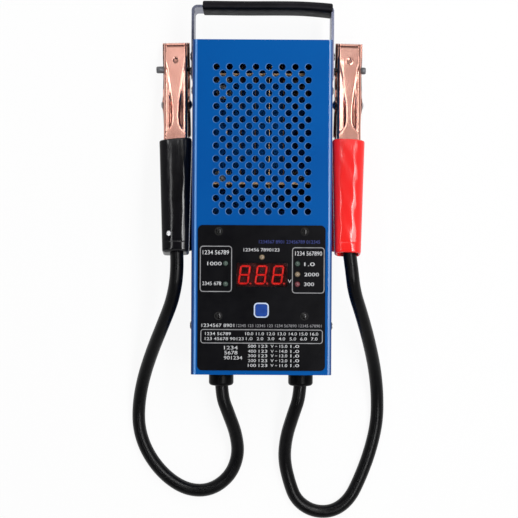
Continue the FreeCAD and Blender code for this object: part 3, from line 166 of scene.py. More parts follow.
floor_mesh.materials.append(floor_paper)
floor = linked("studio_floor", floor_mesh)

sky = bpy.data.worlds.new("studio_sky")
sky.use_nodes = True
scene.world = sky
tree = sky.node_tree
sky_height = node(tree, "SeparateXYZ", {"Vector": node(tree, "TexCoord")["Generated"]})["Z"]
sky_stops = [(position, (level, level, level, 1)) for position, level in SKY_LEVELS]
sky_parts = {
    "Factor": node(tree, "LightPath")["Is Camera Ray"],
    "A": ramp_of(tree, sky_height, sky_stops)["Color"],
    "B": (1, 1, 1, 1),
}
sky_look = node(tree, "Mix", sky_parts, data_type="RGBA")["Result"]
tree.links.new(sky_look, tree.nodes["Background"].inputs["Color"])

for kind, lights, y, z, length in LIGHT_ROWS:
    for number, (x, width, power) in enumerate(lights):
        lamp_data = bpy.data.lights.new(f"{kind}_{number}", "AREA")
        lamp_data.shape = "RECTANGLE"
        lamp_data.energy = power
        size, aim = ((width, length), (0, y)) if kind == "strip" else ((length, width), (x, 0))
        lamp_data.size, lamp_data.size_y = size
        lamp = linked(lamp_data.name, lamp_data)
        lamp.location = (x, y, z)
        aim_line = Vector((*aim, LIGHT_AIM_Z)) - lamp.location
        lamp.rotation_euler = aim_line.to_track_quat("-Z", "X").to_euler()

camera_data = bpy.data.cameras.new("panel_camera")
camera_data.lens = CAMERA_LENS
camera = linked("panel_camera", camera_data)
camera.location = CAMERA_PLACE
camera.rotation_euler = (0.0, 0.0, CAMERA_ROLL)
scene.camera = camera


# Case: a perforated front cover bent from one steel sheet over a folded rear chassis, both in
# blue powder coat with a fine even grain. The front face carries painted shade on the outer part
# of each side bend, with a painted highlight line just inside it, and a painted highlight on the
# left lips of the punched vent holes. The CAD shapes stay.
CASE_TONES = ((0, 77, 153), (0, 85, 161))
CASE_BLUE = paint(*CASE_TONES[1])
PAINTED_BEND_SHADE = paint(0, 40, 104)
PAINTED_LEFT_HIGHLIGHT = paint(112, 168, 232)
PAINTED_RIGHT_HIGHLIGHT = paint(150, 192, 238)
EDGE_REACH = 0.053
FRONT_HEIGHTS = (0.0655, 0.0675)
PAINTED_EDGE_LIGHT_STOPS = (
    (-0.0530, PAINTED_BEND_SHADE, 0.7), (-0.0506, PAINTED_BEND_SHADE, 0.7),
    (-0.0500, PAINTED_LEFT_HIGHLIGHT, 0.75), (-0.0490, PAINTED_LEFT_HIGHLIGHT, 0.75),
    (-0.0484, CASE_BLUE, 0.0), (0.0498, CASE_BLUE, 0.0),
    (0.0502, PAINTED_RIGHT_HIGHLIGHT, 0.75), (0.0508, PAINTED_RIGHT_HIGHLIGHT, 0.75),
    (0.0512, PAINTED_BEND_SHADE, 0.6), (0.0530, PAINTED_BEND_SHADE, 0.7),
)
VENT_PITCH = 0.0098
VENT_FIRST = (0.0049, 0.1046)
VENT_STEPS = (((1, 1, 0), -1, 7.5), ((-1, 1, 0), -11, 11.5))
VENT_HIGHLIGHT_TONE = paint(150, 190, 235)
VENT_HIGHLIGHT_STOPS = ((0.33, 0.0), (0.35, 1.0), (0.38, 1.0), (0.43, 0.0))
VENT_HIGHLIGHT_LEAN = (-0.1, 0.36)
VENT_HIGHLIGHT_SIDES = (0.06, 0.42)


def dress(finish, *names):
    """Give CAD nodes a finish."""
    for name in names:
        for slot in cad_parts[name].material_slots:
            slot.material = finish


def object_axes(tree):
    """Object coordinates of a finish, split into X, Y and Z."""
    return node(tree, "SeparateXYZ", {"Vector": node(tree, "TexCoord")["Object"]})


def product(tree, *values):
    """Values multiplied together."""
    total = values[0]
    for value in values[1:]:
        total = maths(tree, "MULTIPLY", total, value)
    return total


def mix_tone(tree, share, colour, blend="MIX"):
    """Mix a colour, a socket or a fixed one, into the finish's base colour by a share."""
    base = tree.nodes["Principled BSDF"].inputs["Base Color"]
    colours = {"Factor": share, "A": base.links[0].from_socket, "B": colour}
    tree.links.new(node(tree, "Mix", colours, data_type="RGBA", blend_type=blend)["Result"], base)


def tone_along(material, axis, reach, stops, mask=None):
    """Mix colours into a finish by stops of (place, colour, share) along an object axis."""
    tree = material.node_tree
    low, high = reach
    placed_stops = [
        ((place - low) / (high - low), (*colour[:3], share)) for place, colour, share in stops
    ]
    ramp = ramp_of(tree, ranged(tree, object_axes(tree)[axis], reach), placed_stops)
    shares = [ramp["Alpha"]]
    if mask:
        shares.append(ranged(tree, object_axes(tree)[mask[0]], mask[1]))
    mix_tone(tree, product(tree, *shares), ramp["Color"])


def painted_vent_highlights(material):
    """Painted highlight round the vent holes' lips, strongest on their left.

    Holes lie on a square lattice turned by 45 degrees. Places are turned and scaled to whole steps
    of it and wrapped to half a step either way, so their length is the distance from a hole. What
    the wrap takes off is the hole's own place, and only places in the vent field count.
    """
    tree = material.node_tree

    def vector(operation, output, *places):
        return node(tree, "VectorMath", dict(enumerate(places)), operation=operation)[output]

    scale = math.sqrt(2) / VENT_PITCH
    x, y = VENT_FIRST
    lattice = {
        "Vector": node(tree, "TexCoord")["Object"],
        "Scale": (scale, scale, 0),
        "Rotation": (0, 0, math.pi / 4),
        "Location": ((y - x) / VENT_PITCH, -(x + y) / VENT_PITCH, 0),
    }
    steps = node(tree, "Mapping", lattice)["Vector"]
    offset = vector("WRAP", "Vector", steps, (0.5, 0.5, 0.5), (-0.5, -0.5, -0.5))
    highlight_ring_stops = [(position, (share, share, share, 1)) for position, share in VENT_HIGHLIGHT_STOPS]
    leftward = vector("DOT_PRODUCT", "Value", offset, (-math.sqrt(0.5), -math.sqrt(0.5), 0))
    shares = [ramp_of(tree, vector("LENGTH", "Value", offset), highlight_ring_stops)["Color"]]
    shares.append(ranged(tree, leftward, VENT_HIGHLIGHT_LEAN, VENT_HIGHLIGHT_SIDES))
    shares.append(ranged(tree, object_axes(tree)["Z"], FRONT_HEIGHTS))
    hole = vector("SUBTRACT", "Vector", steps, offset)
    for direction, middle, half in VENT_STEPS:
        along = vector("DOT_PRODUCT", "Value", hole, direction)
        shares.append(maths(tree, "COMPARE", along, middle, half))
    mix_tone(tree, product(tree, *shares), VENT_HIGHLIGHT_TONE)


case_paint = surface(
    "blue_powder_coat", CASE_TONES, 9.0, (0.42, 0.52), 1500.0, 4e-5, Specular_IOR_Level=0.03,
    Coat_Weight=0.6, Coat_Roughness=0.09,
)
# Painted shade on the outer part of each side bend and a painted highlight line inside it, on the front
# face.
tone_along(case_paint, "X", (-EDGE_REACH, EDGE_REACH), PAINTED_EDGE_LIGHT_STOPS, ("Z", FRONT_HEIGHTS))
# Painted highlight on the vent holes' left lips.
painted_vent_highlights(case_paint)
dress(case_paint, "front_cover", "rear_chassis")


# Side screws: black zinc pan heads with a cross recess, driven through the cover's sides into
# the chassis ears. Only the heads show.
SIDE_SCREW_ROWS = (-89.0, 89.0)
SIDE_SCREW_Z = 54.0
CASE_SIDE_X = 52.5
SIDE_HEAD = (3.4, 1.6)
MM = 0.001


def fitted(mesh, finish, replaced=None, body="case"):
    """Object of a finished mesh, on its body, in place of a CAD node."""
    mesh.materials.append(finish)
    made = linked(mesh.name, mesh)
    if body:
        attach(made, body)
    if replaced:
        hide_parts(replaced)
    return made


def piece(name, lofts, finish, replaced=None, marks=None, sharp=38.0, body="case"):
    """One object from closed lofts.

    A loft is rows of points in millimetres, each row a loop that closes on itself. Rows that fall
    together on a line or a point close the ends. Doubles are merged and faces turned outwards.
    Marks are one number for each point, kept as an attribute that the finish can read.
    """
    points, quads, start = [], [], 0
    for rows in lofts:
        count, around = rows.shape[:2]
        row, column = np.meshgrid(np.arange(count - 1), np.arange(around), indexing="ij")
        ahead = (column + 1) % around
        low, high = start + row * around, start + (row + 1) * around
        quad = np.stack((low + column, low + ahead, high + ahead, high + column), -1)
        quads.append(quad.reshape(-1, 4))
        points.append(rows.reshape(-1, 3))
        start += count * around
    mesh = bpy.data.meshes.new(name)
    mesh.from_pydata((np.concatenate(points) * MM).tolist(), [], np.concatenate(quads).tolist())
    if marks is not None:
        values = np.concatenate([mark.reshape(-1) for mark in marks]).astype(np.float32)
        mesh.attributes.new("mark", "FLOAT", "POINT").data.foreach_set("value", values)
    cleaned = bmesh.new()
    cleaned.from_mesh(mesh)
    bmesh.ops.remove_doubles(cleaned, verts=cleaned.verts, dist=2e-6)
    bmesh.ops.dissolve_degenerate(cleaned, edges=cleaned.edges, dist=1e-6)
    bmesh.ops.recalc_face_normals(cleaned, faces=cleaned.faces)
    cleaned.to_mesh(mesh)
    cleaned.free()
    mesh.shade_smooth()
    mesh.set_sharp_from_angle(angle=math.radians(sharp))
    return fitted(mesh, finish, replaced, body)


def frame_of(axis):
    """Three unit vectors: two across the axis and the axis itself."""
    axis = np.array(axis, float)
    axis /= np.linalg.norm(axis)
    aside = np.cross(axis, (0.0, 0.0, 1.0) if abs(axis[2]) < 0.9 else (0.0, 1.0, 0.0))
    aside /= np.linalg.norm(aside)
    return np.stack((aside, np.cross(axis, aside), axis))


def turned(profile, place, axis, sides=48):
    """Surface of revolution: every (radius, height) of the profile is a ring about the axis."""
    profile = np.array(profile, float)
    turn = np.linspace(0, 2 * np.pi, sides, endpoint=False)
    radius, height = profile[:, :1], profile[:, 1:]
    local = np.stack((radius * np.cos(turn), radius * np.sin(turn), height + 0 * turn), -1)
    return local @ frame_of(axis) + np.array(place)


def step(low, high, value):
    """Smooth step: 0 up to low, 1 from high on, and 3t^2 - 2t^3 between them."""
    share = np.clip((value - low) / (high - low), 0, 1)
    return share * share * (3 - 2 * share)


def cross_head(radius, height, place, axis, turn):
    """Pan head with a cross recess.

    Rings run from under the rim over a rounded edge to the middle. The height falls with the
    square of the radius, and two crossed slots with sloping walls are sunk into it.
    """
    inwards = np.linspace(1, 0, 30)
    share = np.concatenate(([0.0, 1.0, 1.0], inwards))[:, None]
    level = np.concatenate(([0.0, 0.0, 0.25], 1 - 0.62 * inwards**2.6))[:, None]
    around = np.linspace(0, 2 * np.pi, 96, endpoint=False)
    x, y = radius * share * np.cos(around), radius * share * np.sin(around)
    arm, half = 0.62 * radius, 0.17 * radius
    slots = [
        (1 - step(half, half + 0.16, abs(across))) * (1 - step(arm, arm + 0.3, abs(along)))
        for across, along in ((x, y), (y, x))
    ]
    slots = np.maximum(*slots)
    slots[:3] = 0
    z = height * level - 0.55 * height * slots
    c, s = math.cos(turn), math.sin(turn)
    local = np.stack((c * x - s * y, s * x + c * y, z), -1)
    return local @ frame_of(axis) + np.array(place)


screw_black = surface("black_zinc", ((5, 5, 6), (11, 11, 12)), 160.0, (0.16, 0.24), 2400.0, 1e-5)


def screw_heads(kind, size, seats):
    """Heads of one kind of screw. Each seat is a place, an axis and a turn."""
    lofts = [cross_head(*size, *seat) for seat in seats]
    piece(kind + "_heads", lofts, screw_black, kind + "s")


side_seats = [
    ((side * CASE_SIDE_X, y, SIDE_SCREW_Z), (side, 0, 0), 0.3 + 0.004 * y * side)
    for side in (-1, 1)
    for y in SIDE_SCREW_ROWS
]
screw_heads("side_screw", SIDE_HEAD, side_seats)


# Front label: a black satin polycarbonate panel with rounded corners, stuck over the lower front.
# The display window, lamps and button come through its holes.
label_black = surface(
    "label_black", ((5, 5, 8), (10, 10, 14)), 45.0, (0.3, 0.42), 2600.0, 1.2e-5,
    Specular_IOR_Level=0.075,
)
dress(label_black, "front_label")


# Label print: pale screen-printed frames round the lamps and the table, plain numbers beside the
# lamps and in the table, and a bezel round the button. The ink stands a hair above the label.
LABEL_TOP = 70.5
INK = 0.03
EM_SHARE = 1.36
STROKE_SWELL = 0.00001
FRAME_LINE = 0.6
FRAMES = (
    (-34.0, -46.1, 23.9, 34.3, 2.4),
    (34.8, -46.9, 24.2, 34.3, 2.4),
    (0.3, -96.3, 91.1, 10.6, 2.2),
)
BUTTON_Y = -76.7
BEZEL = (11.2, 3.0, 1.0, 0.5)


def outline(width, length, corner, steps=9):
    """Rounded rectangle about the origin: four quarter turns joined by straight sides."""
    quarter = np.linspace(0, np.pi / 2, steps)
    turns = (np.arange(4)[:, None] * np.pi / 2 + quarter).reshape(-1)
    across = np.repeat((1, -1, -1, 1), steps) * (width / 2 - corner)
    along = np.repeat((1, 1, -1, -1), steps) * (length / 2 - corner)
    return np.stack((across + corner * np.cos(turns), along + corner * np.sin(turns)), -1)


def printed_ring(x, y, width, length, corner, line, rise):
    """Flat band that follows a rounded rectangle: a four-cornered section, carried round it.

    The line is the band's width, or one width at the sides and one at the ends.
    """
    beside, beyond = np.broadcast_to(line, 2)
    outer = outline(width, length, corner)
    inner = outline(width - 2 * beside, length - 2 * beyond, max(corner - beside, 0.2))
    loop = [(outer, 0.0), (outer, rise), (inner, rise), (inner, 0.0), (outer, 0.0)]
    rows = [np.column_stack((shape, np.full(len(shape), LABEL_TOP + level))) for shape, level in loop]
    return np.array(rows) + np.array((x, y, 0.0))


def curve_mesh(curve):
    """Mesh of a curve, and its points as an array. The curve itself goes."""
    carrier = bpy.data.objects.new(curve.name, curve)
    shape = bpy.data.meshes.new_from_object(carrier)
    points = np.empty(len(shape.vertices) * 3)
    shape.vertices.foreach_get("co", points)
    bpy.data.objects.remove(carrier)
    bpy.data.curves.remove(curve)
    return shape, points.reshape(-1, 3)


def lettering(name, words, finish):
    """Plain characters as one thin mesh.

    Each word is its text, the middle's x and y, its height and the width it is drawn out to.
    """
    joined = bmesh.new()
    for text, x, y, size, width in words:
        written = bpy.data.curves.new("written", "FONT")
        written.body = text
        written.size = size * MM * EM_SHARE
        written.align_x = "CENTER"
        written.align_y = "CENTER"
        written.extrude = INK * MM / 2
        written.offset = STROKE_SWELL
        written.resolution_u = 3
        shape, drawn = curve_mesh(written)
        low, high = drawn[:, 0].min(), drawn[:, 0].max()
        drawn[:, 0] = (drawn[:, 0] - (low + high) / 2) * width * MM / (high - low)
        moved = drawn + np.array((x, y, LABEL_TOP + INK / 2)) * MM
        shape.vertices.foreach_set("co", moved.reshape(-1))
        joined.from_mesh(shape)
        bpy.data.meshes.remove(shape)
    mesh = bpy.data.meshes.new(name)
    joined.to_mesh(mesh)
    joined.free()
    fitted(mesh, finish)


def ink(name, tones):
    """Screen ink, a little uneven in tone."""
    return surface(name, tones, 260.0, (0.5, 0.65), 2600.0, 6e-6)


bezel_plastic = surface(
    "pale_bezel", ((178, 196, 226), (205, 218, 240)), 120.0, (0.3, 0.42), 2600.0, 1e-5
)
rings = [printed_ring(*shape, FRAME_LINE, INK) for shape in FRAMES]
grey_ink = ink("grey_ink", ((132, 132, 135), (156, 156, 159)))
piece("printed_frames", rings, grey_ink)
bezel_size, bezel_corner, bezel_width, bezel_rise = BEZEL
bezel = printed_ring(0, BUTTON_Y, bezel_size, bezel_size, bezel_corner, bezel_width, bezel_rise)
piece("button_bezel", [bezel], bezel_plastic)
LAMP_PRINT = [
    ("1234 56789", -34.1, -34.0, 3.3, 19.6),
    ("1000", -35.1, -42.3, 2.8, 10.6),
    ("2345 678", -37.1, -57.1, 2.8, 14.1),
    ("123456 7890123", -0.1, -31.9, 2.5, 26.7),
    ("1234 567890", 35.0, -34.5, 3.3, 20.0),
    ("1.0", 35.7, -42.5, 2.8, 7.8),
    ("2000", 37.3, -50.1, 2.8, 11.0),
    ("300", 35.4, -57.4, 2.8, 7.5),
    ("V", 21.0, -55.2, 2.7, 2.7),
]
TABLE_X = (-8.9, -0.9, 7.3, 15.4, 23.6, 31.5, 39.5)
TABLE_PRINT = [(f"{10 + column}.0", x, -94.4, 2.3, 5.9) for column, x in enumerate(TABLE_X)]
TABLE_PRINT += [(f"{column + 1}.0", x, -98.1, 2.3, 4.9) for column, x in enumerate(TABLE_X)]
TABLE_PRINT += [("1234 56789", -32.2, -94.5, 2.3, 19.2), ("123 45678 90123", -27.5, -98.2, 2.3, 29.0)]
TABLE_PRINT += [("1234567 8901", -32.3, -88.3, 2.6, 24.3)]
LIST_Y = (-103.7, -107.4, -110.8, -114.4, -118.0)
LIST_PRINT = []
for row, y in enumerate(LIST_Y):
    LIST_PRINT += [(f"{5 - row}00", -6.8, y, 2.3, 6.0), ("123", 1.4, y, 2.3, 6.4)]
    LIST_PRINT += [("V", 8.2, y, 2.3, 2.2), ("=", 11.2, y, 1.2, 1.5)]
    LIST_PRINT += [(f"{15 - row}.0", 16.6, y, 2.3, 5.8), ("1.0", 25.1, y, 2.3, 6.5)]
LIST_PRINT += [("1234", -22.5, -104.9, 2.8, 10.2), ("5678", -22.5, -108.6, 2.8, 9.8)]
LIST_PRINT += [("901234", -20.9, -112.4, 2.8, 13.7)]
SMALL_PRINT = [("12345 123 12345 123 1234 567890 12345 678901", 13.2, -88.4, 2.2, 63.5)]
BLUE_PRINT = [("1234567 8901 23456789 012345", 20.7, -25.9, 2.6, 45.5)]
white_ink = ink("white_ink", ((186, 187, 190), (214, 215, 218)))
lettering("printed_numbers", LAMP_PRINT + TABLE_PRINT + LIST_PRINT, white_ink)
lettering("small_numbers", SMALL_PRINT, ink("dim_ink", ((120, 120, 124), (146, 146, 150))))
lettering("blue_numbers", BLUE_PRINT, ink("blue_ink", ((18, 34, 104), (28, 48, 128))))


# Display: a smoked clear window let into the label, with a black printed border, over a black
# three-digit module whose moulded bars are lit red from behind.
WINDOW_BORDER = (0.3, -50.4, 44.6, 20.0, 1.8, (3.1, 1.0))
GLOW_SCALE = 420.0
GLOW_STOPS = ((0.35, paint(206, 22, 20)), (0.65, paint(240, 48, 34)))
window_clear = surface(
    "smoked_window", ((206, 178, 178), (216, 190, 190)), 30.0, (0.03, 0.07), 800.0, 2e-6,
    Transmission_Weight=1.0, IOR=1.46,
)
dress(window_clear, "display_window")
border = printed_ring(*WINDOW_BORDER, INK / 2)
piece("window_border", [border], label_black)
module_black = surface("module_black", ((66, 28, 30), (82, 34, 36)), 120.0, (0.4, 0.55), 2200.0, 1e-5)
dress(module_black, "display_module")
lit_bars = surface(
    "lit_bars", ((120, 10, 10), (150, 16, 14)), 300.0, (0.35, 0.5), 2000.0, 5e-6, Emission_Strength=1.2
)
tree = lit_bars.node_tree
glow_place = {"Vector": node(tree, "TexCoord")["Object"], "Scale": GLOW_SCALE}
glow = ramp_of(tree, node(tree, "TexNoise", glow_place)["Fac"], GLOW_STOPS)["Color"]
tree.links.new(glow, tree.nodes["Principled BSDF"].inputs["Emission Color"])
dress(lit_bars, "display_segments")


# Lamps: unlit round lamps of tinted clear resin, standing on the board and just proud of the
# label. The mark runs from 0 at the rim to 1 over the die in the middle; the finish paints shade
# at the rim and a highlight over the middle, in rings.
LAMP_RADIUS = 2.1
LAMP_TOP = 71.3
LAMP_DOME = 1.38
LAMP_FOOT = 61.0
LAMP_SIDES = 40
LAMP_SHADE_AND_HIGHLIGHT_RINGS = (0.05, 0.45, 0.72, 0.9)


def lamp_rows(x, y):
    """Domed lamp: straight sides up to a cap whose height falls with the square of the radius."""
    inwards = np.linspace(1, 0, 16)
    share = np.concatenate(([0.0, 1.0], inwards))
    level = np.concatenate(([LAMP_FOOT, LAMP_FOOT], LAMP_TOP - LAMP_DOME * inwards**2))
    rows = turned(np.stack((share * LAMP_RADIUS, level), -1), (x, y, 0), (0, 0, 1), LAMP_SIDES)
    marks = np.repeat((1 - share)[:, None], LAMP_SIDES, axis=1)
    marks[0] = 0
    return rows, marks


def mark_of(tree):
    """Value of the mark attribute."""
    return node(tree, "Attribute", attribute_name="mark")["Fac"]


def by_mark(material, stops):
    """Colour a finish by the mark attribute through a ramp of (position, colour) stops."""
    tree = material.node_tree
    ramp = ramp_of(tree, mark_of(tree), list(stops))
    tree.links.new(ramp["Color"], tree.nodes["Principled BSDF"].inputs["Base Color"])


LAMPS = (
    ("green", ((-26.8, -42.0), (-26.8, -57.3), (26.8, -42.0)), (30, 46, 40), (84, 104, 94)),
    ("amber", ((0.3, -37.2), (26.8, -49.9)), (84, 72, 56), (170, 150, 122)),
    ("red", ((26.8, -57.3),), (84, 22, 32), (140, 78, 84)),
)
for colour, places, rim, middle in LAMPS:
    resin = surface(colour + "_resin", (rim, middle), 500.0, (0.12, 0.2), 900.0, 4e-6, Coat_Weight=0.5)
    # Painted shade at the rim and a painted highlight over the middle.
    by_mark(resin, zip(LAMP_SHADE_AND_HIGHLIGHT_RINGS, (paint(*rim), paint(*middle)) * 2))
    lofts, marks = zip(*(lamp_rows(x, y) for x, y in places))
    replaced = "red_led" if colour == "red" else colour + "_leds"
    piece(colour + "_lamps", lofts, resin, replaced, marks)


# Test button: a moulded blue cap that slides in the label's opening and presses a switch on the
# board through a short plunger.
button_blue = surface(
    "button_blue", ((14, 58, 138), (24, 70, 158)), 260.0, (0.3, 0.42), 1800.0, 2e-5,
    Specular_IOR_Level=0.2,
)
dress(button_blue, "test_button")
black_plastic = surface(
    "moulded_black", ((3, 3, 4), (7, 7, 8)), 140.0, (0.3, 0.44), 1700.0, 2.5e-5, Specular_IOR_Level=0.1
)
dress(black_plastic, "switch_plunger", "test_switch")


# Panel screws: four black zinc pan heads with a cross recess, turned down onto the label. Their
# shanks go through the cover and hang the circuit board behind it.
PANEL_HEAD = (3.1, 1.9)
PANEL_SCREWS = [(x, y) for x in (-32.0, 32.0) for y in (-81.1, -18.1)]
panel_seats = [((x, y, LABEL_TOP), (0, 0, 1), 0.5 + 0.017 * (x + y)) for x, y in PANEL_SCREWS]
screw_heads("panel_screw", PANEL_HEAD, panel_seats)


# Board behind the label: green glass laminate with its parts soldered on, held on steel spacers by
# the panel screws' nuts. All of it is inside the case.
board_green = surface("board_laminate", ((22, 84, 48), (30, 100, 58)), 90.0, (0.35, 0.5), 1500.0, 2e-5)
bright_steel = surface(
    "bright_steel", ((150, 150, 154), (186, 186, 190)), 120.0, (0.22, 0.38), 1900.0, 2e-5, Metallic=1.0
)
dress(board_green, "circuit_board")
dress(black_plastic, "board_components", "load_relay")
dress(bright_steel, "board_spacers", "panel_nuts", "handle_nuts", "mica_brackets", "mica_screws")
dress(bright_steel, "relay_nuts", "terminal_bolts", "negative_cable_crimp", "positive_cable_crimp")


# Handle strap: a strip of zinc-plated steel, brushed along its length and bent into a bow. Its legs
# lie on the case's sides and are screwed there.
strap_steel = surface(
    "brushed_zinc", ((98, 101, 120), (126, 129, 147)), 260.0, (0.26, 0.4), 900.0, 3e-5,
    stretch=(0.04, 0.04, 1.0), Metallic=1.0,
)
dress(strap_steel, "handle_strap")


# Handle screws: two black zinc pan heads a side, each with a cross recess, driven through the strap
# and the case into nuts inside.
HANDLE_HEAD = (3.5, 1.6)
STRAP_SIDE_X = 54.5
STRAP_Z = 35.0
HANDLE_SCREW_ROWS = (106.0, 118.0)
handle_seats = [
    ((side * STRAP_SIDE_X, y, STRAP_Z), (side, 0, 0), 0.02 * y + side)
    for side in (-1, 1)
    for y in HANDLE_SCREW_ROWS
]
screw_heads("handle_screw", HANDLE_HEAD, handle_seats)


# Handle grip: a black rubber sleeve pushed over the strap's top. It has a moulding groove along
# its broad faces and droops where it runs over the strap's right-hand bend.
GRIP_X = (-46.0, 53.5)
GRIP_HALF = (14.0, 3.9)
GRIP_MIDDLE_Y = 155.4
GRIP_DROOP = 1.9
GRIP_FLARE = 0.6
GRIP_BEND_X = 22.0
GRIP_POWER = 3.6
GRIP_PAINTED_SHADE = paint(96, 96, 100)


def superellipse(sides, power):
    """Cosines and sines round a circle, then both with their sizes raised to two over the power."""
    turn = np.linspace(0, 2 * np.pi, sides, endpoint=False)
    waves = np.cos(turn), np.sin(turn)
    return *waves, *(np.sign(wave) * abs(wave) ** (2 / power) for wave in waves)


def capped(rows):
    """Rows closed at both ends by a row that falls together in the end ring's middle."""
    first, last = rows[:1].mean(1, keepdims=True), rows[-1:].mean(1, keepdims=True)
    return np.concatenate((first + 0 * rows[:1], rows, last + 0 * rows[-1:]))


def grip_rows():
    """Rounded section carried along the handle, with its marks.

    The section is a superellipse with a shallow groove in the middle of both broad faces. Its
    middle falls and its height grows with the square of the way past the bend. Marks rise to 1 on
    the -Y side, where the finish paints shade.
    """
    inset = np.array((5.0, 1.2, 0.45, 0.12, 0.0))
    start, end = GRIP_X
    setback = np.array((0.0, 0.0, 0.16, 0.5, 1.2))
    run = np.concatenate((start + setback, np.linspace(start + 3, end - 3, 90), (end - setback)[::-1]))
    shrink = np.concatenate((inset, np.zeros(90), inset[::-1]))
    c, s, round_z, round_y = superellipse(160, GRIP_POWER)
    past = np.clip((run - GRIP_BEND_X) / (end - GRIP_BEND_X), 0, 1) ** 2
    half_z = (GRIP_HALF[0] - shrink)[:, None]
    half_y = (GRIP_HALF[1] + GRIP_FLARE / 2 * past - np.minimum(shrink, GRIP_HALF[1]))[:, None]
    z = half_z * round_z
    y = half_y * round_y
    wave = 0.12 * (np.sin(run / 9.0)[:, None] - 1) * s**2
    groove = np.exp(-((y / 0.75) ** 2)) * (abs(c) > 0.6)
    edge = np.exp(-(((abs(y) - 2.6) / 0.5) ** 2)) * (abs(c) > 0.6)
    z = z - np.sign(c) * (0.75 * groove + 0.12 * edge)
    y = GRIP_MIDDLE_Y - GRIP_DROOP * past[:, None] + y + wave
    rows = np.stack((run[:, None] + 0 * y, y, STRAP_Z + z), -1)
    shaded_side = np.repeat((step(0.1, 0.75, -s) * (abs(c) < 0.95))[None], len(rows) + 2, axis=0)
    return capped(rows), shaded_side


def shade_by_mark(material, shade):
    """Multiply a finish's tone by a shade where the mark is 1, and leave it where the mark is 0."""
    tree = material.node_tree
    mix_tone(tree, mark_of(tree), shade, "MULTIPLY")


grip_rubber = surface(
    "grip_rubber", ((25, 24, 28), (36, 34, 39)), 110.0, (0.46, 0.6), 1300.0, 5e-5, stretch=(0.5, 1, 1),
    Specular_IOR_Level=0.08,
)
# Painted shade on the grip's -Y side.
shade_by_mark(grip_rubber, GRIP_PAINTED_SHADE)
grip_loft, grip_shade_marks = grip_rows()
piece("rubber_grip", [grip_loft], grip_rubber, "handle_grip", [grip_shade_marks], 50.0)


# Load: a zigzag resistance ribbon threaded through two mica boards behind the vent holes, with a
# copper bar and lugs at its ends. Two of its runs carry a painted glint, a pale tone along them.
# The mica boards carry a painted highlight along their top edge, and their dark brown is partly
# their own colour and partly painted shade.
RIBBON_REACH = 0.04
PAINTED_GLINT_RUNS = ((-0.0290, -0.0280, -0.0240, -0.0230), (0.0020, 0.0030, 0.0075, 0.0085))
PAINTED_GLINT_TONE = paint(255, 214, 160)
MICA_HEIGHTS = (0.04, 0.06)
MICA_PAINTED_HIGHLIGHT = paint(240, 196, 150)
MICA_HIGHLIGHT_STOPS = ((0.0497, MICA_PAINTED_HIGHLIGHT, 0.0), (0.0499, MICA_PAINTED_HIGHLIGHT, 1.0))

ribbon_alloy = surface(
    "ribbon_alloy", ((70, 52, 40), (104, 82, 62)), 60.0, (0.35, 0.55), 700.0, 3e-5, Metallic=0.3
)
ribbon_glint_stops = [(x, PAINTED_GLINT_TONE, share) for run in PAINTED_GLINT_RUNS for x, share in zip(run, (0, 1, 1, 0))]
# Painted glint along two runs of the ribbon.
tone_along(ribbon_alloy, "X", (-RIBBON_REACH, RIBBON_REACH), ribbon_glint_stops)
mica_board = surface("mica_board", ((60, 38, 26), (84, 56, 38)), 70.0, (0.4, 0.6), 500.0, 4e-5)
# Painted highlight along the mica boards' top edge.
tone_along(mica_board, "Z", MICA_HEIGHTS, MICA_HIGHLIGHT_STOPS)
tinned_copper = surface(
    "bus_copper", ((176, 108, 78), (204, 140, 108)), 60.0, (0.3, 0.45), 1200.0, 2e-5, Metallic=1.0
)
dress(ribbon_alloy, "load_ribbon")
dress(mica_board, "upper_mica_board", "lower_mica_board")
dress(tinned_copper, "load_bar", "negative_lug", "positive_lug")


# Glands: black nylon bushings in the bottom wall, moulded with a flange and a rounded outer end
# round the cable. A nut inside the wall holds each one.
GLAND_X = 30.9
GLAND_Z = 28.0
WALL_Y = -124.5
CABLE_RADIUS = 5.1
SIDES = ("negative", "positive")


def gland_rows(x):
    """Turned bushing: a seat flange, a drum with a soft outer edge, and a dished mouth for the cable."""
    edge = np.linspace(0, np.pi / 2, 8)
    drum = np.stack((7.2 + 2.4 * np.cos(edge), 10.1 + 2.4 * np.sin(edge)), -1)
    mouth = ((6.5, 12.5), (5.9, 12.2), (5.35, 11.2), (5.2, 9.0), (0.0, 9.0))
    foot = ((0.0, -1.0), (7.8, -1.0), (7.8, 0.0), (9.5, 0.0))
    foot += ((9.7, 0.2), (9.7, 1.5), (9.45, 1.8), (9.6, 2.2))
    return turned(np.concatenate((foot, drum, mouth)), (x, WALL_Y, GLAND_Z), (0, -1, 0), 72)


for side, x in zip(SIDES, (-GLAND_X, GLAND_X)):
    piece(side + "_bushing", [gland_rows(x)], black_plastic, side + "_gland")
    dress(black_plastic, side + "_gland_nut")


# Clamp jaws: pressed from copper-plated steel sheet. A flat nose plate narrows to a ridge between
# two pressed hollows, the side walls carry the mouth and the pivot, and the lip is folded down.
PIVOT = np.array((-67.7, 83.0, 14.9))
PIVOT_DEPTH = 13.5
SPREAD = math.radians(16.0)
YAW = math.radians(1.33)
JAW_SHEET = 1.2
JAW_BEND = 2.0
UPPER_HALF = 9.2
LOWER_HALF = 10.7
NOSE = (46.7, 50.1)
TAIL = 121.0
LOWER_TAIL = 112.0
JAW_RISE = math.tan(SPREAD / 2)
BEVEL_TILT = math.tan(math.radians(6.2))
CREASE = (43.3, 43.7, 44.8, 45.2)
BOSS_RADIUS = 6.5
ARCH_MIDDLE = 25.5
ARCH_HALF = 12.5
ARCH_HEIGHT = 3.6
RIDGE_PLACES = (-33, -29, -26, -22, -17, -5, 3, 15.5, 25, 35, 46)
RIDGE_HALVES = (8.2, 7.0, 3.6, 1.7, 1.0, 1.3, 2.3, 3.8, 5.5, 8.0, 8.2)
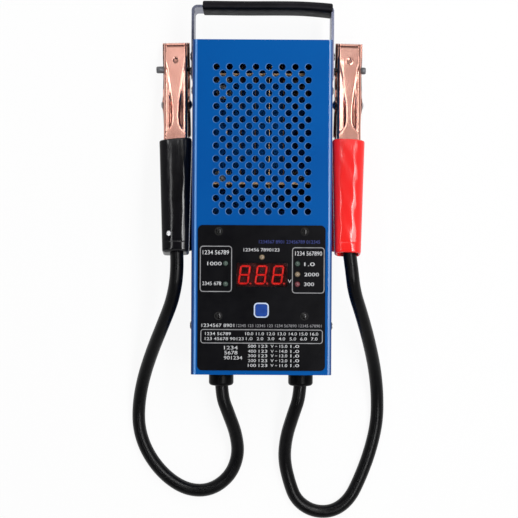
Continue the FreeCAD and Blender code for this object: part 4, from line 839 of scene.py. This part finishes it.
PAN_DEPTH = 1.5
PAN_SHADES = (0.3, 0.75)
CREASE_DEPTH = 0.8
DIMPLE_ALONG = 32.2
TEETH = (5, 0.35)


def placed(points, half, side):
    """Set clamp points, drawn on the web with the jaw along +Y, into a half of one clamp.

    They are lifted to the pivot, tipped by the spread for the upper half or turned over for the
    lower one, turned by the yaw, moved to the pivot, and mirrored for the positive clamp.
    """
    x, y, z = points[..., 0], points[..., 1], points[..., 2] + PIVOT_DEPTH
    if half == "upper":
        c, s = math.cos(SPREAD), math.sin(SPREAD)
        y, z = c * y + s * z, c * z - s * y
    elif half == "lower":
        x, z = -x, -z
    else:
        z = z - PIVOT_DEPTH
    c, s = math.cos(YAW), math.sin(YAW)
    x, y = c * x - s * y, s * x + c * y
    world = np.stack((x, y, z), -1) + PIVOT
    if side == "positive":
        world[..., 0] *= -1
    return world


def eased(value, places, heights, blur):
    """Line through given heights at given places, rounded by averaging over a short blur."""
    shifts = np.linspace(-1, 1, 9)
    return sum(np.interp(value + blur * shift, places, heights) for shift in shifts) / len(shifts)


def jaw_rows(wide, tail, dimple, rims):
    """Folded sheet as a closed section carried from the handle to the nose, with its marks.

    The section runs up one side wall, round a bend, over the web, round the other bend, down the
    other wall and back inside by the sheet's thickness. The walls end on the jaw line, a mouth
    arc, the pivot's round boss and the handle's edge. Beside the ridge the web falls in a bevel to
    two pressed pans, whose outer rims slope away into the bends, and into the crease behind the
    lip. Marks say how much painted shade a place gets: in the pans, the crease and the dimple, on
    the case-side wall and bend, and on the inner face.
    """
    spans = [(-tail, -34, 24), (-33, 42, 112), (CREASE[0] - 0.3, CREASE[-1] + 0.3, 16)]
    spans += [(DIMPLE_ALONG - 3.4, DIMPLE_ALONG + 3.4, 28), (*NOSE, 10)]
    boss = BOSS_RADIUS * np.cos(np.linspace(0, np.pi, 23))
    run = np.unique(np.concatenate([np.linspace(*span) for span in spans] + [boss]))[:, None]
    jaw_line = -PIVOT_DEPTH + run * JAW_RISE + 0.2
    drop = -(-PIVOT_DEPTH + NOSE[1] * JAW_RISE + 0.2)
    top = -np.clip((run - NOSE[0]) / (NOSE[1] - NOSE[0]), 0, 1) * drop
    arch = ARCH_HEIGHT * np.clip(1 - ((run - ARCH_MIDDLE) / ARCH_HALF) ** 2, 0, None)
    arch_start = ARCH_MIDDLE - ARCH_HALF
    edge_places = (-tail, -38.0, -33.0, -16.0, -BOSS_RADIUS, BOSS_RADIUS, arch_start)
    edge_levels = (-9.6, -9.6, -11.0, -11.0, -13.5, -13.5, -13.5 + arch_start * JAW_RISE + 0.2)
    edge = np.where(run > arch_start, jaw_line + arch, np.interp(run, edge_places, edge_levels))
    round_boss = -PIVOT_DEPTH - np.sqrt(np.clip(BOSS_RADIUS**2 - run**2, 0, None))
    edge = np.where(abs(run) < BOSS_RADIUS, round_boss, edge)
    half = UPPER_HALF + (wide - UPPER_HALF) * step(-26.2, -23.8, run)
    bend = np.minimum(JAW_BEND, 0.42 * (top - edge))
    ridge = eased(run, RIDGE_PLACES, RIDGE_HALVES, 1.6)
    pan = step(10, -12, run) * step(-26.5, -22.0, run)
    shaped = step(-31, -25, run) * (1 - step(24, 36, run))
    tilts = [math.radians(angle) * shaped for _, angle in rims]
    crossing = step(CREASE[0], CREASE[1], run) * (1 - step(CREASE[2], CREASE[3], run))

    walls, arcs, web = 7, 7, 57
    up = np.linspace(0, 1, walls)[:-1]
    arc = np.linspace(0, 1, arcs)
    over = np.linspace(-1, 1, web)[1:-1]

    def pressed(x, limit):
        """Depth pressed into the web at x, where it meets a bend at the limit, and its mark."""
        away = np.clip(abs(x) - ridge, 0, None)
        case_side = x > 0
        inner = limit - np.where(case_side, rims[1][0], rims[0][0])
        bevel = BEVEL_TILT * np.where(away < 0.6, away**2 / 1.2, np.minimum(away, 1.8) - 0.3)
        bowl = step(1.2, 2.5, away) * (1 - step(inner - 1.0, inner, abs(x)))
        slope = np.where(case_side, np.tan(tilts[1]), np.tan(tilts[0]))
        slope = slope * np.clip(abs(x) - inner, 0, None)
        depth, lip, radii, shade = dimple
        oval = np.sqrt((x / radii[0]) ** 2 + ((run - DIMPLE_ALONG) / radii[1]) ** 2)
        pit = depth * (1 - step(0.45, 1.0, oval)) - lip * np.exp(-(((oval - 1.15) / 0.22) ** 2))
        slot = CREASE_DEPTH * crossing + 0 * x
        # Painted shade in the pans, stronger on the case side, in the dimple and in the crease.
        dark = np.where(case_side, PAN_SHADES[1], PAN_SHADES[0]) * bowl * pan
        dark = dark + shade * (1 - step(0.55, 1.0, oval)) + 0.6 * (slot > 0.3)
        return bevel + PAN_DEPTH * bowl * pan + slope + pit + slot, np.clip(dark, 0, 1)

    def face(half, level, bend):
        """One face of the sheet: left wall, bend, web, bend and right wall, as x, z and marks."""
        sides, limits = [], []
        for side, tilt in zip((-1, 1), tilts):
            turn = arc * (np.pi / 2 - tilt)
            limit = half - bend + bend * np.sin(tilt)
            limits.append(limit)
            depth, _ = pressed(side * limit, limit)
            crown = level - depth + bend * (1 - np.cos(tilt))
            crown = np.maximum(crown, edge + 1.05 * bend)
            wall = edge + (crown - bend - edge) * up
            side_x = np.concatenate((half + 0 * wall, half - bend + bend * np.cos(turn)), 1)
            sides.append((side * side_x, np.concatenate((wall, crown - bend + bend * np.sin(turn)), 1)))
        limit = np.where(over < 0, limits[0], limits[1])
        web_x = limit * over
        depth, dark = pressed(web_x, limit)
        (left_x, left_z), (right_x, right_z) = sides
        x = np.concatenate((left_x, web_x, right_x[:, ::-1]), 1)
        z = np.concatenate((left_z, level - depth, right_z[:, ::-1]), 1)
        # Painted shade on the case-side wall and the outer part of its bend.
        shade = np.concatenate((np.ones(walls - 1), 1 - step(0.15, 0.6, arc)))
        return x, z, np.concatenate((0 * left_x, dark, shade[::-1] + 0 * right_x), 1)

    outer_x, outer_z, dark = face(half, top, bend)
    slope = np.where(run > NOSE[0], 1.8, 1.0)
    inner_top = np.maximum(top - JAW_SHEET * slope, edge + 0.02)
    inner_bend = np.minimum(np.clip(bend - JAW_SHEET, 0.12, None), 0.4 * (inner_top - edge))
    inner_x, inner_z, _ = face(half - JAW_SHEET, inner_top, inner_bend)
    teeth, height = TEETH
    sawtooth = 2 * abs(((outer_x[-1] * teeth / (2 * wide - 4)) % 1) - 0.5)
    outer_z[-1] += height * np.clip(sawtooth * 2 - 1, 0, 1)
    outer = np.stack((outer_x, run + 0 * outer_x, outer_z), -1)
    inner = np.stack((inner_x, run + 0 * inner_x, np.minimum(inner_z, outer_z - 0.02)), -1)[:, ::-1]
    loop = np.concatenate((outer, inner), 1)
    flat_loop = (outer + inner[:, ::-1]) / 2
    closed = np.concatenate((flat_loop, flat_loop[:, ::-1]), 1)
    rows = np.concatenate((closed[:1], loop, closed[-1:]))
    # Painted shade on the inner face.
    marks = np.concatenate((dark, 0.7 + 0 * dark), 1)
    marks = np.concatenate((marks[:1], marks, marks[-1:]))
    return rows, marks


def clamp_piece(name, rows, half, side, finish, replaced=None, marks=None, sharp=38.0):
    """Piece of one clamp: the upper half is a body of its own and the lower half rides on the case."""
    body = {"upper": side + "_upper_half", "lower": "case"}.get(half)
    return piece(name, [placed(rows, half, side)], finish, replaced, marks, sharp, body)


COPPER_ROUGHNESS = {"negative": (0.15, 0.2), "positive": (0.12, 0.17)}
COPPER_SHADE = paint(62, 30, 32)
LOWER_INNER_SHADE = 0.3
DIMPLES = {"negative": (0.5, 0.0, (2.3, 3.1), 0.5), "positive": (0.4, 0.12, (2.0, 2.2), 0.25)}
RIMS = {"negative": ((2.0, 3.5), (1.0, 6.0)), "positive": ((1.6, 3.0), (2.8, 6.0))}
JAWS = {"upper": (UPPER_HALF, TAIL), "lower": (LOWER_HALF, LOWER_TAIL)}
for side in SIDES:
    copper_plate = surface(
        side + "_copper_plate", ((208, 149, 134), (226, 173, 158)), 55.0, COPPER_ROUGHNESS[side], 900.0,
        8e-6, stretch=(1.0, 0.35, 1.0), Metallic=1.0,
    )
    # Painted shade: the marks darken the copper towards this shade colour.
    shade_by_mark(copper_plate, COPPER_SHADE)
    for half, size in JAWS.items():
        dimple = DIMPLES[side if half == "upper" else "negative"]
        rows, marks = jaw_rows(*size, dimple, RIMS[side])
        if half == "lower":
            # On the lower half the outer marks are mirrored and the inner face gets less painted shade.
            outer, inner = np.split(marks, 2, axis=1)
            marks = np.concatenate((outer[:, ::-1], LOWER_INNER_SHADE * inner), 1)
        name = f"{side}_{half}"
        replaced = name + "_jaw"
        clamp_piece(name + "_shell", rows, half, side, copper_plate, replaced, [marks])
    dress(tinned_copper, side + "_jaw_contact")
    dress(bright_steel, side + "_pivot_rivet")


# Cross pins: turned steel pins through the upper jaw's walls that hold the contact block. The
# outer end is a short head with a bevelled rim. The pin is painted grey at the head and black
# along its inner end as shade.
PIN_ALONG = 25.6
PIN_DEPTH = 3.5
PIN_REACH = {"negative": 15.2, "positive": 13.0}
PIN_SIDES = 40
PIN_SHADE_STOPS = ((0.3, paint(112, 113, 116)), (0.7, paint(12, 11, 12)))


def pin_profile(reach):
    """Pin in (radius, height) steps: a bevelled head up to the reach, a neck and a plain shank."""
    head = ((0.0, reach), (2.1, reach), (2.55, reach - 0.5), (2.7, reach - 1.2), (2.7, 10.2), (2.2, 9.3))
    return head + ((1.7, 9.2), (1.7, -12.3), (1.4, -12.6), (0.0, -12.6))


pin_steel = surface(
    "pin_steel", ((100, 101, 104), (124, 125, 128)), 300.0, (0.4, 0.55), 1600.0, 2e-5, Metallic=0.6
)
# Painted shade: grey at the head, black along the inner end.
by_mark(pin_steel, PIN_SHADE_STOPS)
for side, reach in PIN_REACH.items():
    profile = pin_profile(reach)
    pin_shade_marks = np.repeat((np.array(profile)[:, 1:] < 0) * 1.0, PIN_SIDES, axis=1)
    rows = turned(profile, (0, PIN_ALONG, -PIN_DEPTH), (-1, 0, 0), PIN_SIDES)
    replaced = side + "_cross_pin"
    clamp_piece(side + "_pin", rows, "upper", side, pin_steel, replaced, [pin_shade_marks])


# Jaw springs: torsion springs of hard steel wire wound round the pivot rivet, with a leg along
# each handle.
SPRING_RADIUS = 5.6
SPRING_WIRE = 0.9
SPRING_TURNS = 4
SPRING_PITCH = 2.6
SPRING_LEG = 22.0


def tube(path, radius, reference, sides=24):
    """Round tube: a ring at each point of a path, square to it and turned towards the reference."""
    ahead = np.gradient(path, axis=0)
    ahead /= np.linalg.norm(ahead, axis=1, keepdims=True)
    aside = reference - (ahead @ reference)[:, None] * ahead
    aside /= np.linalg.norm(aside, axis=1, keepdims=True)
    across = np.cross(ahead, aside)
    turn = np.linspace(0, 2 * np.pi, sides, endpoint=False)[:, None]
    rows = path[:, None] + radius * (np.cos(turn) * aside[:, None] + np.sin(turn) * across[:, None])
    return np.concatenate((path[:1, None] + 0 * rows[:1], rows, path[-1:, None] + 0 * rows[-1:]))


def spring_path():
    """Helix about the pivot: it climbs evenly with the turn, and both ends run on as straight legs."""
    sweep = 2 * np.pi * SPRING_TURNS + np.pi - SPREAD
    turn = np.linspace(0, sweep, 260)
    angle = turn - np.pi / 2
    climb = SPRING_PITCH / (2 * np.pi) * (turn - sweep / 2)
    coil = np.stack((climb, SPRING_RADIUS * np.cos(angle), SPRING_RADIUS * np.sin(angle)), -1)
    reach = np.linspace(SPRING_LEG, 0, 14)[:-1, None]
    first = np.array((0.0, -np.sin(angle[0]), np.cos(angle[0])))
    last = np.array((0.0, -np.sin(angle[-1]), np.cos(angle[-1])))
    return np.concatenate((coil[0] - reach * first, coil, coil[-1] + reach[::-1] * last)), climb[-1]


spring_steel = surface(
    "spring_steel", ((104, 104, 108), (146, 146, 150)), 200.0, (0.25, 0.4), 1500.0, 2e-5, Metallic=1.0
)
wire_line, wire_end = spring_path()
for side in SIDES:
    rows = tube(wire_line, SPRING_WIRE, np.array((1.0, 0.0, 0.0)), 16)
    name, replaced = side + "_spring_wire", side + "_jaw_spring"
    made = clamp_piece(name, rows, "spring", side, spring_steel, replaced)
    ends = placed(np.array(((-wire_end, 0.0, 0.0), (wire_end, 0.0, 0.0))), "spring", side) * MM
    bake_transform(made)


# Sleeves: dipped vinyl handles, black on the negative clamp and red on the positive one, glossy and
# a little uneven. The cable comes out of the upper one's end, which on the red clamp is an open rim.
SLEEVE_START = -33.8
SLEEVE_END = {"upper": -125.0, "lower": -116.0}
SLEEVE_HALF = (12.6, 6.9)
SLEEVE_TAPER = 2.6
SLEEVE_MIDDLE = -5.5
SLEEVE_PHASE = {"upper": 0.4, "lower": 1.7}
SLEEVE_RING = (0.16, 0.91, 0.007)
FOLD_WIDTH = 0.17
FOLD_PLACES = (0.0, 0.3, 0.57, 0.88)
BLACK_FOLD = (0.1, (-0.38, -0.15, 0.13, -0.05), 0.05)
RED_FOLD = (0.1, (-0.45, -0.36, -0.3, -0.2), 0.12)
BLACK_VINYL = ((10, 9, 12), (17, 16, 20))
RED_VINYL = ((250, 36, 34), (255, 50, 46))
SLEEVES = (
    ("negative", "black_sleeve", BLACK_VINYL, 0.42, 1.8, BLACK_FOLD, 1.8, 8.0),
    ("positive", "red_sleeve", RED_VINYL, 0.75, 0.7, RED_FOLD, 0.6, 3.8),
)
LOWER_GLOSS = 0.3


def sleeve_rows(end, open_end, crown, fold, slant, phase, power):
    """Rounded sleeve: superellipse rings from inside the mouth, along the outside and into the end.

    The rings taper evenly, the upper side is crowned by a parabola and wanders with slow waves,
    and a soft fold of bell shape runs along it. The mouth is cut a little askew, and a shallow
    groove goes round near the end, which is rounded shut or has an open rim.
    """
    start = SLEEVE_START
    outside = np.linspace(start - 0.8, end + 1.6, 110)
    mouth = ((start - 9, 9.0), (start - 9, 1.3), (start - 0.4, 1.15), (start, 0.8), (start - 0.15, 0.25))
    tip = ((end + 1.0, 0.3), (end + 0.45, 0.9), (end + 0.12, 1.8), (end, 2.9), (end, 9.0))
    if open_end:
        tip = ((end + 0.7, 0.25), (end + 0.15, 0.7), (end, 1.3), (end + 0.3, 1.9))
        tip += ((end + 2.5, 2.2), (end + 2.5, 9.0))
    wall = np.stack((outside, 0 * outside), -1)
    run, shrink = np.concatenate((mouth, wall, tip)).T
    _, s, round_x, round_z = superellipse(144, power)
    share = np.clip((run - start) / (end - start), 0, 1)[:, None]
    half_x = SLEEVE_HALF[0] - SLEEVE_TAPER * share - np.minimum(shrink, 9.9)[:, None]
    half_z = (SLEEVE_HALF[1] - np.minimum(shrink, 6.3))[:, None]
    skin = (shrink < 0.9)[:, None] * 1.0
    across = round_x * np.ones_like(share)
    height, path, wave = fold
    crest = np.interp(share, FOLD_PLACES, path)
    bell = height * np.exp(-(((across - crest) / FOLD_WIDTH) ** 2)) * step(0, 0.06, share)
    waves = wave * np.sin(5 * across + 7 * share + phase) * np.sin(17 * share + 2 * across + phase)
    depth, place, width = SLEEVE_RING
    ring = depth * np.exp(-(((share - place) / width) ** 2))
    lifted = crown * (1 - across**2) + (bell + waves * (1 - across**4)) * (crown > 0) - ring
    x = (half_x - 0.1 * skin) * round_x
    z = (half_z - 0.1 * skin) * round_z + SLEEVE_MIDDLE + skin * (s > 0) * lifted * step(0, 0.5, s)
    y = run[:, None] + slant * (across - 1) / 2 * (1 - step(0, 0.12, share))
    return capped(np.stack((x, y, z), -1))


for side, slot, tones, gloss, crown, fold, slant, power in SLEEVES:
    for half, end in SLEEVE_END.items():
        upper = half == "upper"
        vinyl = surface(
            f"{half}_{slot}", tones, 40.0, (0.09, 0.14), 260.0, 3e-5, stretch=(1.0, 0.5, 1.0),
            Specular_IOR_Level=gloss * (1.0 if upper else LOWER_GLOSS),
        )
        open_end = upper and side == "positive"
        lift = crown if upper else 0.0
        rows = sleeve_rows(end, open_end, lift, fold, slant, SLEEVE_PHASE[half], power)
        name = f"{side}_{half}"
        clamp_piece(name + "_vinyl", rows, half, side, vinyl, name + "_sleeve", sharp=60.0)


# Sleeve plug: an oval plug of white plastic near the black sleeve's end. It is pushed through the
# vinyl and pins the sleeve to its handle. Its white is partly the plug's own colour and partly a
# painted highlight standing in for a glint.
PLUG_PLACE = (-4.7, -111.3, 2.55)
PLUG_STRETCH = np.array((1.0, 1.3, 1.0))
plug_turn = np.linspace(0, np.pi / 2, 12)
plug_profile = np.concatenate(
    (((0.0, -0.6), (1.6, -0.6)), np.stack((1.6 * np.cos(plug_turn), 0.7 * np.sin(plug_turn)), -1))
)
plug_rows = turned(plug_profile, (0, 0, 0), (0, 0, 1), 36) * PLUG_STRETCH + np.array(PLUG_PLACE)
# White partly as a painted highlight for a glint.
glint_plug_white = surface("glint_plug_white", ((226, 226, 228), (242, 242, 244)), 300.0, (0.2, 0.32), 1400.0, 1e-5)
clamp_piece("sleeve_plug", plug_rows, "upper", "negative", glint_plug_white)


# Cables: two black rubber-jacketed copper leads, 10 mm thick. Each leaves its gland, lies on the
# floor in one loop and climbs into the upper handle of its clamp, where it is crimped.
CABLE_ROUTES = {
    "negative": (
        (-30.9, -124.5, 28.0), (-30.9, -144.1, 28.0), (-25.2, -159.8, 23.5), (-19.2, -177.0, 15.0),
        (-17.4, -194.7, 8.5), (-24.0, -212.0, 5.8), (-39.3, -223.4, 5.3), (-57.6, -223.5, 5.3),
        (-75.2, -213.0, 5.3), (-89.5, -195.4, 5.3), (-97.0, -175.7, 5.3), (-97.3, -155.5, 7.4),
        (-92.9, -133.2, 15.0), (-84.6, -110.0, 28.0), (-75.0, -88.2, 42.0), (-66.8, -68.5, 53.0),
        (-63.2, -46.45, 60.35), (-64.4, -31.56, 56.08),
    ),
    "positive": (
        (30.9, -124.5, 28.0), (30.9, -143.8, 28.0), (25.4, -160.7, 23.5), (20.2, -179.2, 15.0),
        (18.8, -197.7, 8.5), (22.8, -215.6, 5.8), (28.6, -231.0, 5.3), (42.0, -239.9, 5.3),
        (58.2, -239.9, 5.3), (71.0, -230.4, 5.3), (79.2, -214.0, 5.3), (87.4, -192.1, 5.3),
        (92.8, -168.9, 5.3), (92.9, -147.1, 7.9), (90.0, -125.1, 16.0), (84.0, -102.1, 29.5),
        (77.0, -80.8, 43.5), (70.4, -63.0, 54.0), (68.0, -46.45, 60.35), (66.2, -31.56, 56.08),
    ),
}
SWING_Y = (-0.130, -0.042)
SWING_Z = 0.02


def smooth_line(route):
    """Points along a NURBS line of order 3 that starts and ends on the route's own end points."""
    line = bpy.data.curves.new("line", "CURVE")
    line.dimensions = "3D"
    spline = line.splines.new("NURBS")
    spline.points.add(len(route) - 1)
    weighted = np.column_stack((np.array(route) * MM, np.ones(len(route))))
    spline.points.foreach_set("co", weighted.reshape(-1))
    spline.order_u = 3
    spline.use_endpoint_u = True
    spline.resolution_u = 10
    shape, points = curve_mesh(line)
    bpy.data.meshes.remove(shape)
    return points / MM


UPRIGHT = np.array((0.0, 0.0, 1.0))
cable_rubber = surface(
    "cable_rubber", ((4, 4, 5), (8, 8, 10)), 90.0, (0.26, 0.36), 900.0, 4e-5, Specular_IOR_Level=0.2
)
for side, route in CABLE_ROUTES.items():
    path = smooth_line(route)
    rows = tube(path, CABLE_RADIUS, UPRIGHT, 32)
    cable = piece(side + "_lead", [rows], cable_rubber, side + "_cable", body=None)
    start, end = ((route[0][0] * MM, y, SWING_Z) for y in SWING_Y)
    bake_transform(cable)


# Leads inside the case: the same cable runs from each gland to its lug, and two thin wires run
# from the board's connector to the relay's coil.
INNER_ROUTES = {
    "negative": (
        (-30.9, -124.5, 28.0), (-30.9, -100.5, 28.0), (-34.0, -76.0, 29.0), (-44.3, -49.0, 33.0),
        (-44.3, -19.5, 33.0),
    ),
    "positive": (
        (30.9, -124.5, 28.0), (30.9, -103.5, 28.0), (20.0, -88.0, 33.5), (20.0, -74.5, 33.5),
    ),
}
COIL_WIRE_RADIUS = 0.8
for side, route in INNER_ROUTES.items():
    rows = tube(smooth_line(route), CABLE_RADIUS, UPRIGHT, 24)
    piece(side + "_inside_run", [rows], cable_rubber, side + "_inner_lead")
coil_wires = []
for offset in (-2.0, 2.0):
    route = (
        (-16.0 + offset, -70.0, 51.4), (-16.0 + offset, -70.0, 37.4), (-12.0 + offset, -62.0, 24.0),
        (-4.0, -54.0 + 2 * offset, 12.0), (5.0, -54.0 + 2 * offset, 12.0),
    )
    coil_wires.append(tube(smooth_line(route), COIL_WIRE_RADIUS, np.array((1.0, 0.2, 0.0)), 12))
piece("coil_wires", coil_wires, cable_rubber, "control_wires")
